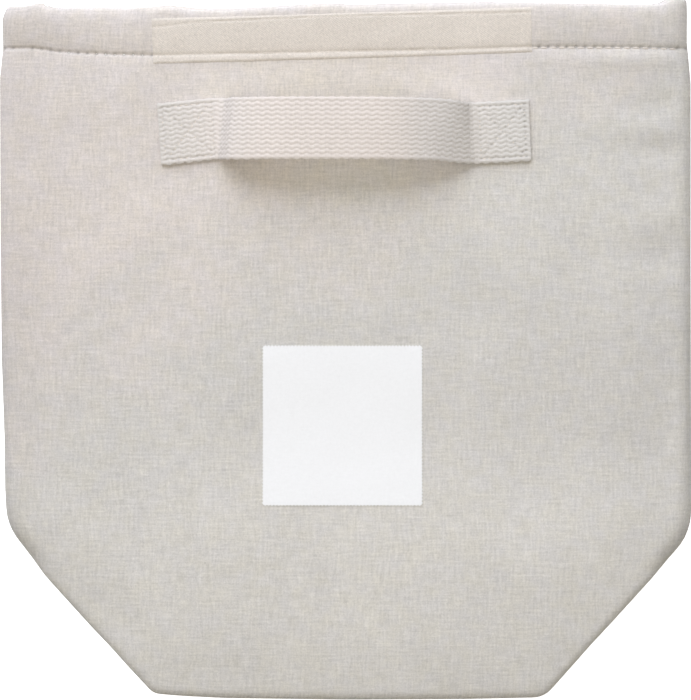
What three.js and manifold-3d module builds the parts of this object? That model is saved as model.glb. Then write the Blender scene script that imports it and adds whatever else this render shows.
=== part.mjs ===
// Rolltop cooler bag, empty and lying flat on its back, in millimetres.
// +X runs to the right along the rim, +Y towards the rim and +Z out of the front face.
// The origin is the middle of the bag's outline, on the surface that it lies on.
import * as THREE from 'three';
import { mergeVertices } from 'three/addons/utils/BufferGeometryUtils.js';
import Module from 'manifold-3d';

const wasm = await Module();
wasm.setup();

// Outline of the flat bag
const BASE_WIDTH = 198;
const BASE_DEPTH = 147;
const FLAT_LENGTH = 347;
const CREASE_RISE = 85;
const SIDE_CORNER_RADIUS = 35;
const BASE_CORNER_RADIUS = 12;

// Padded wall, from the outside in
const CLOTH = 0.6;
const FOAM = 2.4;
const LINING = 0.4;
const LAYER_GAP = 0.3;

// Air between the walls of the flat bag
const MOUTH_AIR = 5.4;
const BASE_AIR = 0.6;
const BASE_FOLD_GAP = 0.6;
const EDGE_FLAT = 0.3;
const FOLD_TO_TAPER = 12;
const TAPER_TO_HANDLE = 35;

// Where the top rolls, and the seam left open between the pieces that roll
const FOLD_1_BELOW_RIM = 25;
const FOLD_2_BELOW_RIM = 47;
const SPLIT_GAP = 0.4;
const HALVES_GAP = 0.3;

// Hook-and-loop closure
const TAPE_LENGTH = 189;
const TAPE_WIDTH = 22.5;
const TAPE_THICKNESS = 1.2;
const TAPE_CENTRE_X = -1.75;
const LOOP_TAPE_BELOW_RIM = 1.5;
const HOOK_TAPE_BELOW_FOLD = 1.8;

// Webbing handle
const WEBBING_WIDTH = 30;
const WEBBING_THICKNESS = 1.8;
const HANDLE_BELOW_RIM = 48;
const HANDLE_LEFT = -92.75;
const HANDLE_RIGHT = 91.75;
const LEFT_SEWN_LENGTH = 32;
const RIGHT_SEWN_LENGTH = 28.5;
const ARCH_HEIGHT = 20;
const ARCH_PEAK_X = 5;
const GRIP_LEFT = -50;
const GRIP_RIGHT = 28;

// Where the arch's two curves pull: up the steep rise, and out along the long fall
const RISE_PULL_RATIO = 0.8;
const FALL_HIGH_RATIO = 0.45;
const FALL_LOW_RATIO = 0.6;

// Print patch, seams and stitching
const PATCH_SIDE = 80;
const PATCH_THICKNESS = 0.5;
const PATCH_CENTRE_X = -1.5;
const PATCH_BELOW_RIM = 169.5;
const HEM_STITCH_BELOW_RIM = 20.5;
const THREAD_WIDTH = 0.8;
const THREAD_THICKNESS = 0.3;
const STITCH_MARGIN = 2.2;
const BINDING_WIDTH = 8;
const BINDING_THICKNESS = 2.4;
const BASE_BINDING_WIDTH = 6;

// Steps of the rounded shapes
const TAPER_STEPS = 7;
const EDGE_STEPS = 4;
const RING_STEPS = 3;
const ARC_STEPS = 4;
const ARCH_STEPS = 9;
const EDGE_START = THREE.MathUtils.degToRad(10);
const LEAST_STATION_STEP = 0.25;
const BEYOND = 500;

// Places worked out from the sizes above
const HALF_WIDTH = (BASE_WIDTH + BASE_DEPTH) / 2;
const CORNER_RUN = BASE_DEPTH / 2;
const CREASE_LENGTH = Math.hypot(CORNER_RUN, CREASE_RISE);
const WALL = CLOTH + FOAM + LINING + 2 * LAYER_GAP;
const RIM_THICKNESS = 2 * WALL + MOUTH_AIR;
const BASE_THICKNESS = 4 * WALL + 2 * BASE_AIR + BASE_FOLD_GAP;
const RIM_Y = FLAT_LENGTH / 2;
const BOTTOM_Y = -RIM_Y;
const BASE_FOLD_Y = BOTTOM_Y + BASE_DEPTH / 2;
const FOLD_1_Y = RIM_Y - FOLD_1_BELOW_RIM;
const FOLD_2_Y = RIM_Y - FOLD_2_BELOW_RIM;
const HANDLE_TOP_Y = RIM_Y - HANDLE_BELOW_RIM;
const HANDLE_BOTTOM_Y = HANDLE_TOP_Y - WEBBING_WIDTH;
const TAPER_START_Y = BASE_FOLD_Y + FOLD_TO_TAPER;
const TAPER_END_Y = HANDLE_BOTTOM_Y - TAPER_TO_HANDLE;
const LEFT_SEWN_END = HANDLE_LEFT + LEFT_SEWN_LENGTH;
const RIGHT_SEWN_END = HANDLE_RIGHT - RIGHT_SEWN_LENGTH;
const HOOK_TAPE_TOP_Y = FOLD_2_Y - HOOK_TAPE_BELOW_FOLD;
const LOOP_TAPE_TOP_Y = RIM_Y - LOOP_TAPE_BELOW_RIM;
const TAPE_LEFT = TAPE_CENTRE_X - TAPE_LENGTH / 2;
const TAPE_RIGHT = TAPE_CENTRE_X + TAPE_LENGTH / 2;

// A closed solid from a geometry whose corners meet.
function solidOf(geometry) {
  const bare = geometry.clone();
  bare.deleteAttribute('normal');
  bare.deleteAttribute('uv');
  const merged = mergeVertices(bare);
  return new wasm.Manifold(new wasm.Mesh({
    numProp: 3,
    vertProperties: new Float32Array(merged.attributes.position.array),
    triVerts: new Uint32Array(merged.index.array),
  }));
}

// A block between two corners.
function block([x0, y0, z0], [x1, y1, z1]) {
  const geometry = new THREE.BoxGeometry(x1 - x0, y1 - y0, z1 - z0);
  geometry.translate((x0 + x1) / 2, (y0 + y1) / 2, (z0 + z1) / 2);
  return solidOf(geometry);
}

// A body through convex rings that follow each other along +Y. Each ring holds [x, z] points and its y.
function loft(rings) {
  const count = rings[0].points.length;
  const positions = rings.flatMap(({ y, points }) => points.flatMap(([x, z]) => [x, y, z]));
  const faces = [];
  for (let r = 0; r + 1 < rings.length; r += 1) {
    for (let k = 0; k < count; k += 1) {
      const a = r * count + k;
      const b = r * count + ((k + 1) % count);
      faces.push(a, a + count, b + count, a, b + count, b);
    }
  }
  const last = (rings.length - 1) * count;
  for (let k = 1; k + 1 < count; k += 1) {
    faces.push(0, k, k + 1, last, last + k + 1, last + k);
  }
  const geometry = new THREE.BufferGeometry();
  geometry.setAttribute('position', new THREE.Float32BufferAttribute(positions, 3));
  geometry.setIndex(faces);
  return solidOf(geometry);
}

function rectangle(left, right, low, high) {
  return [[right, low], [right, high], [left, high], [left, low]];
}

function roundedRectangle(halfWidth, low, high, radius) {
  const x = halfWidth - radius;
  const corners = [[x, high - radius], [-x, high - radius], [-x, low + radius], [x, low + radius]];
  return corners.flatMap(([cx, cz], quarter) => Array.from({ length: RING_STEPS + 1 }, (_, k) => {
    const angle = (quarter + k / RING_STEPS) * Math.PI / 2;
    return [cx + radius * Math.cos(angle), cz + radius * Math.sin(angle)];
  }));
}

// Heights where the bag's thickness starts, bends and stops tapering.
const taperStations = Array.from({ length: TAPER_STEPS + 1 }, (_, k) => (
  THREE.MathUtils.lerp(TAPER_START_Y, TAPER_END_Y, k / TAPER_STEPS)));

// Thickness of the flat bag at y: four walls over the folded base, easing to two walls at the rim.
function thicknessAt(y) {
  const climbed = (y - TAPER_START_Y) / (TAPER_END_Y - TAPER_START_Y);
  const along = THREE.MathUtils.clamp(climbed, 0, 1) * TAPER_STEPS;
  const step = Math.min(Math.floor(along), TAPER_STEPS - 1);
  const from = THREE.MathUtils.smoothstep(step, 0, TAPER_STEPS);
  const to = THREE.MathUtils.smoothstep(step + 1, 0, TAPER_STEPS);
  const share = THREE.MathUtils.lerp(from, to, along - step);
  return THREE.MathUtils.lerp(BASE_THICKNESS, RIM_THICKNESS, share);
}

// The two rounded corners on each side, below and above the slanted crease.
const creaseAngle = -Math.atan2(CORNER_RUN, CREASE_RISE);

function creaseX(y, inset) {
  return BASE_WIDTH / 2 + (y - BOTTOM_Y) * CORNER_RUN / CREASE_RISE - inset * CREASE_LENGTH / CREASE_RISE;
}

const baseCorner = {
  x: creaseX(BOTTOM_Y + BASE_CORNER_RADIUS, BASE_CORNER_RADIUS),
  y: BOTTOM_Y + BASE_CORNER_RADIUS,
  radius: BASE_CORNER_RADIUS,
  from: -Math.PI / 2,
  to: creaseAngle,
};

const sideCornerX = HALF_WIDTH - SIDE_CORNER_RADIUS;
const sideCorner = {
  x: sideCornerX,
  y: BOTTOM_Y + (sideCornerX - creaseX(BOTTOM_Y, SIDE_CORNER_RADIUS)) * CREASE_RISE / CORNER_RUN,
  radius: SIDE_CORNER_RADIUS,
  from: creaseAngle,
  to: 0,
};

function arcY(corner, angle, inset) {
  return corner.y + (corner.radius - inset) * Math.sin(angle);
}

function arcX(corner, y, inset) {
  return corner.x + Math.sqrt(Math.max(0, (corner.radius - inset) ** 2 - (y - corner.y) ** 2));
}

// Half the bag's width at y, for a layer that lies inset from the outer surface.
function halfWidthAt(y, inset) {
  if (y < arcY(baseCorner, baseCorner.to, inset)) return arcX(baseCorner, y, inset);
  if (y < arcY(sideCorner, sideCorner.from, inset)) return creaseX(y, inset);
  if (y < sideCorner.y) return arcX(sideCorner, y, inset);
  return HALF_WIDTH - inset;
}

// The bag's whole body for a layer that lies inset from the outer surface, running on past the rim.
function envelope(inset) {
  const edgeRadius = BASE_THICKNESS / 2 - EDGE_FLAT - inset;
  const bottom = BOTTOM_Y + inset;
  const edgeStations = Array.from({ length: EDGE_STEPS + 1 }, (_, k) => {
    const angle = THREE.MathUtils.lerp(EDGE_START, Math.PI / 2, k / EDGE_STEPS);
    return bottom + edgeRadius * (Math.cos(EDGE_START) - Math.cos(angle));
  });
  const arcStations = [baseCorner, sideCorner].flatMap((corner) => (
    Array.from({ length: ARC_STEPS + 1 }, (_, k) => (
      arcY(corner, THREE.MathUtils.lerp(corner.from, corner.to, k / ARC_STEPS), inset)))));
  const stations = [...edgeStations, ...arcStations, ...taperStations, RIM_Y + WALL]
    .sort((a, b) => a - b)
    .filter((y, k, all) => k === 0 || y - all[k - 1] > LEAST_STATION_STEP);
  return loft(stations.map((y) => {
    const cosine = Math.max(0, Math.cos(EDGE_START) - (y - bottom) / edgeRadius);
    const pinch = edgeRadius * (1 - Math.sqrt(1 - cosine ** 2));
    const low = inset + pinch;
    const high = thicknessAt(y) - inset - pinch;
    return { y, points: roundedRectangle(halfWidthAt(y, inset), low, high, (high - low) / 2 - EDGE_FLAT) };
  }));
}

// The space between the two folds of the base, grown by inset.
function baseFold(inset) {
  const half = BASE_FOLD_GAP / 2 + inset;
  const middle = BASE_THICKNESS / 2;
  return block([-BEYOND, -BEYOND, middle - half], [BEYOND, BASE_FOLD_Y + inset, middle + half]);
}

// The shallow bed in the back that lets the hook tape lie flush, grown by inset.
function tapeBed(inset) {
  const edge = LAYER_GAP + inset;
  return block(
    [TAPE_LEFT - edge, HOOK_TAPE_TOP_Y - TAPE_WIDTH - edge, -BEYOND],
    [TAPE_RIGHT + edge, HOOK_TAPE_TOP_Y + edge, TAPE_THICKNESS + edge],
  );
}

// The bag's body inset from the outer surface. The bed presses into the cloth and the foam's outer face.
const bodies = new Map();
function body(inset) {
  if (!bodies.has(inset)) {
    const folded = envelope(inset).subtract(baseFold(inset));
    bodies.set(inset, inset <= CLOTH + LAYER_GAP ? folded.subtract(tapeBed(inset)) : folded);
  }
  return bodies.get(inset);
}

// One layer of the wall between two depths.
function layer(outer, inner) {
  return body(outer).subtract(body(inner));
}

// Everything in front of the bag's middle, or behind it.
function half(side) {
  const rings = [-BEYOND, ...taperStations, BEYOND].map((y) => {
    const middle = thicknessAt(y) / 2;
    const low = side === 'front' ? middle + HALVES_GAP / 2 : -BEYOND;
    const high = side === 'front' ? BEYOND : middle - HALVES_GAP / 2;
    return { y, points: rectangle(-BEYOND, BEYOND, low, high) };
  });
  return loft(rings);
}

function between(lowY, highY) {
  return block([-BEYOND, lowY, -BEYOND], [BEYOND, highY, BEYOND]);
}

// The three parts of the bag that roll over each other.
const bagPart = between(-BEYOND, FOLD_2_Y - SPLIT_GAP / 2);
const bandPart = between(FOLD_2_Y + SPLIT_GAP / 2, FOLD_1_Y - SPLIT_GAP / 2);
const rimPart = between(FOLD_1_Y + SPLIT_GAP / 2, RIM_Y);

const clothLayer = layer(0, CLOTH);
const foamLayer = layer(CLOTH + LAYER_GAP, CLOTH + LAYER_GAP + FOAM);
const liningLayer = layer(WALL - LINING, WALL);

// The cloth turned in over the rim, as deep inside as the rim part is outside.
const facing = layer(WALL - CLOTH, WALL);
const turnedEdge = layer(0, WALL).intersect(between(RIM_Y - CLOTH, RIM_Y));
const hem = clothLayer.add(facing).add(turnedEdge);
const hemFoam = layer(CLOTH + LAYER_GAP, WALL - CLOTH - LAYER_GAP)
  .intersect(between(-BEYOND, RIM_Y - CLOTH - LAYER_GAP));

// A shallow line pressed into the hem by its row of stitches, and the thread that fills it.
const hemStitchHalf = HALF_WIDTH - RIM_THICKNESS;
function hemLine(side, grow) {
  const y = RIM_Y - HEM_STITCH_BELOW_RIM;
  const reach = THREAD_WIDTH / 2 + grow;
  const front = side === 'front';
  return block(
    [-hemStitchHalf - grow, y - reach, front ? RIM_THICKNESS - THREAD_THICKNESS : -grow],
    [hemStitchHalf + grow, y + reach, front ? RIM_THICKNESS + grow : THREAD_THICKNESS],
  );
}

// A rectangular line of stitches, as one flat frame of thread.
function stitchFrame(left, right, low, high, z0, z1) {
  const outer = block([left, low, z0], [right, high, z1]);
  const inner = block(
    [left + THREAD_WIDTH, low + THREAD_WIDTH, -BEYOND],
    [right - THREAD_WIDTH, high - THREAD_WIDTH, BEYOND],
  );
  return outer.subtract(inner);
}

// A diagonal line of stitches across a frame.
function stitchDiagonal(left, right, low, high, z0, z1, rising) {
  const run = right - left - THREAD_WIDTH;
  const rise = high - low - THREAD_WIDTH;
  const geometry = new THREE.BoxGeometry(Math.hypot(run, rise), THREAD_WIDTH, z1 - z0);
  geometry.rotateZ(Math.atan2(rising ? rise : -rise, run));
  geometry.translate((left + right) / 2, (low + high) / 2, (z0 + z1) / 2);
  return solidOf(geometry);
}

const frontZ = RIM_THICKNESS + LAYER_GAP;

function loopTape() {
  return block(
    [TAPE_LEFT, LOOP_TAPE_TOP_Y - TAPE_WIDTH, frontZ],
    [TAPE_RIGHT, LOOP_TAPE_TOP_Y, frontZ + TAPE_THICKNESS],
  );
}

function loopTapeStitching() {
  const z = frontZ + TAPE_THICKNESS;
  return stitchFrame(
    TAPE_LEFT + STITCH_MARGIN, TAPE_RIGHT - STITCH_MARGIN,
    LOOP_TAPE_TOP_Y - TAPE_WIDTH + STITCH_MARGIN, LOOP_TAPE_TOP_Y - STITCH_MARGIN,
    z, z + THREAD_THICKNESS,
  );
}

// The hook tape lies flush in the back, with its stitches sunk into it.
function hookTapeStitching(z0) {
  return stitchFrame(
    TAPE_LEFT + STITCH_MARGIN, TAPE_RIGHT - STITCH_MARGIN,
    HOOK_TAPE_TOP_Y - TAPE_WIDTH + STITCH_MARGIN, HOOK_TAPE_TOP_Y - STITCH_MARGIN,
    z0, THREAD_THICKNESS,
  );
}

function hookTape() {
  return block([TAPE_LEFT, HOOK_TAPE_TOP_Y - TAPE_WIDTH, 0], [TAPE_RIGHT, HOOK_TAPE_TOP_Y, TAPE_THICKNESS])
    .subtract(hookTapeStitching(-BEYOND));
}

// Middle line of the raised webbing: a steep rise on the left, a long fall on the right.
const archFoot = WEBBING_THICKNESS / 2;
const archStart = LEFT_SEWN_END + LAYER_GAP + archFoot;
const archLine = new THREE.CurvePath();
archLine.add(new THREE.CubicBezierCurve(
  new THREE.Vector2(archStart, 0),
  new THREE.Vector2(archStart + archFoot, RISE_PULL_RATIO * ARCH_HEIGHT),
  new THREE.Vector2((archStart + ARCH_PEAK_X) / 2, ARCH_HEIGHT),
  new THREE.Vector2(ARCH_PEAK_X, ARCH_HEIGHT),
));
archLine.add(new THREE.CubicBezierCurve(
  new THREE.Vector2(ARCH_PEAK_X, ARCH_HEIGHT),
  new THREE.Vector2(THREE.MathUtils.lerp(ARCH_PEAK_X, RIGHT_SEWN_END, FALL_HIGH_RATIO), ARCH_HEIGHT),
  new THREE.Vector2(THREE.MathUtils.lerp(ARCH_PEAK_X, RIGHT_SEWN_END, FALL_LOW_RATIO), archFoot),
  new THREE.Vector2(RIGHT_SEWN_END - LAYER_GAP, archFoot),
));

// The raised webbing, which the grip and the two rises are cut from.
function arch() {
  const upper = [];
  const lower = [];
  for (const curve of archLine.curves) {
    for (let k = curve === archLine.curves[0] ? 0 : 1; k <= ARCH_STEPS; k += 1) {
      const point = curve.getPoint(k / ARCH_STEPS);
      const tangent = curve.getTangent(k / ARCH_STEPS);
      const normal = new THREE.Vector2(-tangent.y, tangent.x).multiplyScalar(WEBBING_THICKNESS / 2);
      upper.push(point.clone().add(normal));
      lower.unshift(point.clone().sub(normal));
    }
  }
  const geometry = new THREE.ExtrudeGeometry(
    new THREE.Shape([...upper, ...lower]),
    { depth: WEBBING_WIDTH, bevelEnabled: false },
  );
  geometry.rotateX(Math.PI / 2);
  geometry.translate(0, HANDLE_TOP_Y, frontZ);
  return solidOf(geometry);
}

function betweenX(left, right) {
  return block([left, -BEYOND, -BEYOND], [right, BEYOND, BEYOND]);
}

function sewnEnd(left, right) {
  return block([left, HANDLE_BOTTOM_Y, frontZ], [right, HANDLE_TOP_Y, frontZ + WEBBING_THICKNESS]);
}

// The box with a cross in it that holds one end of the handle.
function endStitching(left, right) {
  const z = frontZ + WEBBING_THICKNESS;
  const box = [
    left + STITCH_MARGIN, right - STITCH_MARGIN,
    HANDLE_BOTTOM_Y + STITCH_MARGIN, HANDLE_TOP_Y - STITCH_MARGIN,
  ];
  return stitchFrame(...box, z, z + THREAD_THICKNESS)
    .add(stitchDiagonal(...box, z, z + THREAD_THICKNESS, true))
    .add(stitchDiagonal(...box, z, z + THREAD_THICKNESS, false));
}

// The blank patch for a print, lying on the sloping front.
function patch() {
  const middle = RIM_Y - PATCH_BELOW_RIM - PATCH_SIDE / 2;
  const low = middle - PATCH_SIDE / 2;
  const high = middle + PATCH_SIDE / 2;
  const stations = [low, ...taperStations.filter((y) => y > low && y < high), high];
  return loft(stations.map((y) => {
    const z = thicknessAt(y) + LAYER_GAP;
    const left = PATCH_CENTRE_X - PATCH_SIDE / 2;
    return { y, points: rectangle(left, left + PATCH_SIDE, z, z + PATCH_THICKNESS) };
  }));
}

// A bound seam allowance that lies between the two linings, from low to high along the bag.
function binding(left, right, low, high) {
  const stations = [low, ...taperStations.filter((y) => y > low && y < high), high];
  return loft(stations.map((y) => {
    const bottom = (thicknessAt(y) - BINDING_THICKNESS) / 2;
    return { y, points: rectangle(left, right, bottom, bottom + BINDING_THICKNESS) };
  }));
}

// Side seams sit just inside the lining's fold; the base seam sits on the top of the folded base.
const bindingOuter = HALF_WIDTH - WALL - 2 * LAYER_GAP;
const bindingInner = bindingOuter - BINDING_WIDTH;
const insideBaseY = BASE_FOLD_Y + WALL + LAYER_GAP;

function fabric(name, color, roughness) {
  return new THREE.MeshStandardMaterial({ name, color, roughness, metalness: 0 });
}

const materials = {
  cloth: fabric('cloth', 0xcdc8c2, 0.9),
  foam: fabric('foam', 0xf0f0ee, 0.7),
  lining: fabric('lining', 0xc9ccd0, 0.35),
  webbing: fabric('webbing', 0xe0dad3, 0.85),
  tape: fabric('tape', 0xddd6cb, 0.95),
  thread: fabric('thread', 0xd8d2ca, 0.8),
  patch: fabric('patch', 0xf5f5f5, 0.9),
  binding: fabric('binding', 0xd9d5cf, 0.9),
};

const bag = new THREE.Group();
bag.name = 'bag';
const band = new THREE.Group();
band.name = 'band';
const rim = new THREE.Group();
rim.name = 'rim';
const handle = new THREE.Group();
handle.name = 'handle';

function addPiece(group, name, solid, material) {
  const { vertProperties, triVerts } = solid.getMesh();
  const geometry = new THREE.BufferGeometry();
  geometry.setAttribute('position', new THREE.BufferAttribute(vertProperties, 3));
  geometry.setIndex(new THREE.BufferAttribute(triVerts, 1));
  const flat = geometry.toNonIndexed();
  flat.computeVertexNormals();
  const mesh = new THREE.Mesh(flat, material);
  mesh.name = name;
  group.add(mesh);
}

for (const side of ['front', 'back']) {
  const thisHalf = half(side);
  const cut = (solid, part) => solid.intersect(part).intersect(thisHalf);
  addPiece(bag, `${side}_cloth`, cut(clothLayer, bagPart), materials.cloth);
  addPiece(bag, `${side}_foam`, cut(foamLayer, bagPart), materials.foam);
  addPiece(bag, `${side}_lining`, cut(liningLayer, bagPart), materials.lining);
  addPiece(band, `${side}_band_cloth`, cut(clothLayer, bandPart), materials.cloth);
  addPiece(band, `${side}_band_foam`, cut(foamLayer, bandPart), materials.foam);
  addPiece(band, `${side}_band_lining`, cut(liningLayer, bandPart), materials.lining);
  addPiece(rim, `${side}_hem`, cut(hem, rimPart).subtract(hemLine(side, LAYER_GAP)), materials.cloth);
  addPiece(rim, `${side}_hem_foam`, cut(hemFoam, rimPart), materials.foam);
  addPiece(rim, `${side}_hem_stitching`, hemLine(side, 0), materials.thread);
}

addPiece(rim, 'loop_tape', loopTape(), materials.tape);
addPiece(rim, 'loop_tape_stitching', loopTapeStitching(), materials.thread);
addPiece(bag, 'hook_tape', hookTape(), materials.tape);
addPiece(bag, 'hook_tape_stitching', hookTapeStitching(0), materials.thread);
addPiece(bag, 'print_patch', patch(), materials.patch);

const raised = arch();
const leftRise = raised.intersect(betweenX(-BEYOND, GRIP_LEFT - LAYER_GAP));
const rightRise = raised.intersect(betweenX(GRIP_RIGHT + LAYER_GAP, BEYOND));
addPiece(handle, 'handle_grip', raised.intersect(betweenX(GRIP_LEFT, GRIP_RIGHT)), materials.webbing);
addPiece(bag, 'handle_left_rise', leftRise, materials.webbing);
addPiece(bag, 'handle_right_rise', rightRise, materials.webbing);
addPiece(bag, 'handle_left_end', sewnEnd(HANDLE_LEFT, LEFT_SEWN_END), materials.webbing);
addPiece(bag, 'handle_right_end', sewnEnd(RIGHT_SEWN_END, HANDLE_RIGHT), materials.webbing);
addPiece(bag, 'handle_left_stitching', endStitching(HANDLE_LEFT, LEFT_SEWN_END), materials.thread);
addPiece(bag, 'handle_right_stitching', endStitching(RIGHT_SEWN_END, HANDLE_RIGHT), materials.thread);

const bagTopY = FOLD_2_Y - SPLIT_GAP / 2;
const bandY = [FOLD_2_Y + SPLIT_GAP / 2, FOLD_1_Y - SPLIT_GAP / 2];
const sideBindings = { left: [-bindingOuter, -bindingInner], right: [bindingInner, bindingOuter] };
for (const [side, reach] of Object.entries(sideBindings)) {
  addPiece(bag, `${side}_seam_binding`, binding(...reach, sideCorner.y, bagTopY), materials.binding);
  addPiece(band, `${side}_band_binding`, binding(...reach, ...bandY), materials.binding);
}
const baseBindingHalf = BASE_WIDTH / 2 - WALL;
addPiece(
  bag,
  'base_seam_binding',
  binding(-baseBindingHalf, baseBindingHalf, insideBaseY, insideBaseY + BASE_BINDING_WIDTH),
  materials.binding,
);

bag.add(band, rim, handle);

export default bag;
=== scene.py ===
"""Looks of the rolltop cooler bag: its cloth, padding, tapes, webbing and stitches, and a pale studio.

Laid out as an add-on and run as a script. Settings are in metres. Places inside the functions are in
millimetres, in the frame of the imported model: +X along the rim, +Y towards the rim, +Z out of the front, and
the back on z = 0.
"""

import math

import bmesh
import bpy
import numpy as np
from bpy.props import FloatProperty, FloatVectorProperty, IntProperty, PointerProperty
from mathutils import Matrix, Vector
from mathutils.bvhtree import BVHTree
from mathutils.noise import noise


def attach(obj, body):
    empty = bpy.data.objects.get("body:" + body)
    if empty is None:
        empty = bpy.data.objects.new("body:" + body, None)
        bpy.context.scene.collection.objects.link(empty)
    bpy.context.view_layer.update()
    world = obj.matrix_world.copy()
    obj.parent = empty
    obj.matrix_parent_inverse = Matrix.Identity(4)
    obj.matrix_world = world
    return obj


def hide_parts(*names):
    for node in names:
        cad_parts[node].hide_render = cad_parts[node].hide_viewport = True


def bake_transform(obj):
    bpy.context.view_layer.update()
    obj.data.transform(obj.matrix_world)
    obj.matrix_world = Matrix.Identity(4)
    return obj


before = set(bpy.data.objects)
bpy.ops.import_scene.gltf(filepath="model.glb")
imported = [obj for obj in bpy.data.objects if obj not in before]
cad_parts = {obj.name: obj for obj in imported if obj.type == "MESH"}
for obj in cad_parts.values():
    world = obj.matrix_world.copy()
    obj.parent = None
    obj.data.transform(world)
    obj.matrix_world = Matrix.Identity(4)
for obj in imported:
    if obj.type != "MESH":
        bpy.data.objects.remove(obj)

bl_info = {
    "name": "Rolltop Cooler Bag",
    "version": (1, 0, 0),
    "blender": (4, 5, 0),
    "location": "View3D > Sidebar > Cooler Bag",
    "description": "Builds the soft pieces of a rolltop cooler bag and the studio around it",
    "category": "Object",
}

MM = 0.001

# Heights across the bag. Its cloth is split at SPLIT, and folds in at BASE_FOLD
BOTTOM, RIM = -173.5, 173.5
BASE_FOLD = -100.0
SPLIT = 142.0

# The two folds of the top: the bodies below and above, and where the cloth starts and stops bending
FOLD_2 = ("bag", "band", 126.0, 141.0)
FOLD_1 = ("band", "rim", 143.5, 153.5)

# Corners of the outline as (x, y, radius), down the left side and down the right side
LEFT_SIDE = [
    (-167.2, 180, 0), (-171.9, 167, 8), (-171.6, 152, 12), (-173.1, 138, 12), (-172.9, 60, 40),
    (-172.2, 0, 30), (-170.6, -42, 12), (-170.2, -68, 12), (-169.2, -86.0, 28), (-150.9, -109.4, 40),
    (-116.8, -147, 30), (-95.7, BOTTOM, 7), (0, BOTTOM, 0),
]
RIGHT_SIDE = [
    (170.6, 180, 0), (171.1, 168, 3), (171.0, 156, 10), (172.9, 136, 12), (172.9, -89.9, 30),
    (121.6, -146.2, 30), (98.9, BOTTOM, 12), (0, BOTTOM, 0),
]
WIDTH = 345.0

# How far the real edges and the hem's seam wander from straight, as (x, offset)
RIM_WANDER = [
    (-172, 0.2), (-165, 0.2), (-158, -0.2), (-146, -0.8), (-136, -0.9), (-118, -0.8), (-106, -0.8),
    (-90, 0.0), (-76, -1.3), (-61, -1.4), (-46, -0.5), (-31, 0.5), (-16, 1.5), (0, 1.1), (14, 0.6), (29, 1.3),
    (44, 1.7), (59, 1.9), (72, 1.8), (89, 1.4), (104, 1.7), (119, 1.3), (131, 1.1), (152, 0.9), (157, 1.2),
    (160, 1.8), (163, 4.5), (173, 4.0),
]
SEAM_WANDER = [
    (-172, 0.1), (-152, -0.5), (-146, -1.9), (-128, -3.2), (-96, -4.1), (-53, -3.0), (-23, -2.4), (0, -1.8),
    (27, -1.4), (52, -0.9), (92, 0.2), (107, 0.3), (147, 0.1), (172, -0.3),
]
BOTTOM_WANDER = [(-100, 4.4), (-82, 2.8), (-60, 1.7), (0, 0.9), (60, 1.2), (96, 2.0), (110, 2.4)]

# How far from the rim, from the seam and from the bottom these are felt. The rim's is full RIM_PLAY below it
RIM_FELT, SEAM_FELT, BOTTOM_FELT = 17.5, 20.0, 42.0
RIM_PLAY = 2.0

# Thickness of the flat bag, halved, at the base and at the rim, and the heights between which it changes
BASE_HALF, RIM_HALF = 8.9, 6.7
TAPER = (-88.0, 60.5)

# The base: half the slit between its flaps, and the heights between which the flaps spread to fill the bag
PLEAT_HALF = 0.3
FLAP_EASE = (-114.0, -100.0)

# The hem: its seam, the thickness of its turned wall, the reach of its round rim and of its stitches' pull,
# how far its stitches run from the middle, and where the turned cloth and the lining film end inside
SEAM = 152.5
HEM_WALL = 4.0
HEM_ROUND = 8.0
STITCH_PULL = 0.8
HEM_STITCH_REACH = 167.0
HEM_CLOTH_END = 151.5
LINING_TOP = 150.6

# Edges: radius of the bag's rounded sides, distances from a side where rows of points lie, the reach of the
# drop towards the sides, and how near two points are merged
SIDE_RADIUS = 9.0
EDGE_STEPS = [0, 0.15, 0.6, 1.4, 2.5, 3.9, 5.6, 7.5, 9.6, 12]
CROWN_REACH = 46.0
MERGE = 0.02

# Soft dents and swells of the front, as (x, y, reach along x, reach along y, height)
SWELLS = [
    (0, -98, 130, 26, 0.5), (20, -50, 200, 42, -1.9), (140, -46, 64, 40, -1.3), (152, 146.5, 52, 5.5, 1.1),
    (166, 124, 26, 5, -0.9), (166, 101, 26, 6, -1.0), (172, 111, 30, 5, 0.8), (170, 48, 34, 8, -1.0),
    (172, 68, 36, 8, 0.8), (-120, 128, 30, 12, 0.5), (-150, 60, 22, 40, -0.4), (-76, 89, 26, 8, -0.5),
    (76, 90, 30, 9, -0.5), (0, 60, 70, 26, 0.6), (60, 20, 50, 20, -0.4), (-60, -120, 50, 24, -0.5),
    (70, -128, 56, 20, -0.4),
]

# The cloth's hills and ripples as (size, height, seed). The sag at the middle of the rim: its depth, where it
# starts and is full along y, and where it stops being full and ends beside the middle
HILLS, RIPPLES = (46, 0.35, 3.1), (15, 0.12, 7.7)
RIM_SAG = 2.3
SAG_START, SAG_FULL = 118, 146
SAG_FADE, SAG_END = 42, 108

# Tapes: their middles, the slant of the loop tape, and the hollow that the hook tape lies in
TAPE_X, HOOK_TAPE_Y, LOOP_TAPE_Y = -1.75, 113.45, 158.45
TAPE_TURN = math.atan2(5.85, 189.0)
HOOK_BED, BED_MARGIN = 1.35, 1.2

# Distance of the stitches from the edges of tapes and webbing, and from the loop tape's upper edge as
# (s, distance)
STITCH_MARGIN = 2.3
UPPER_MARGIN = [(-94, 4.6), (-73, 2.6), (-57, 2.2), (-13, 1.5), (15, 1.6), (92, 2.8)]

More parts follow.
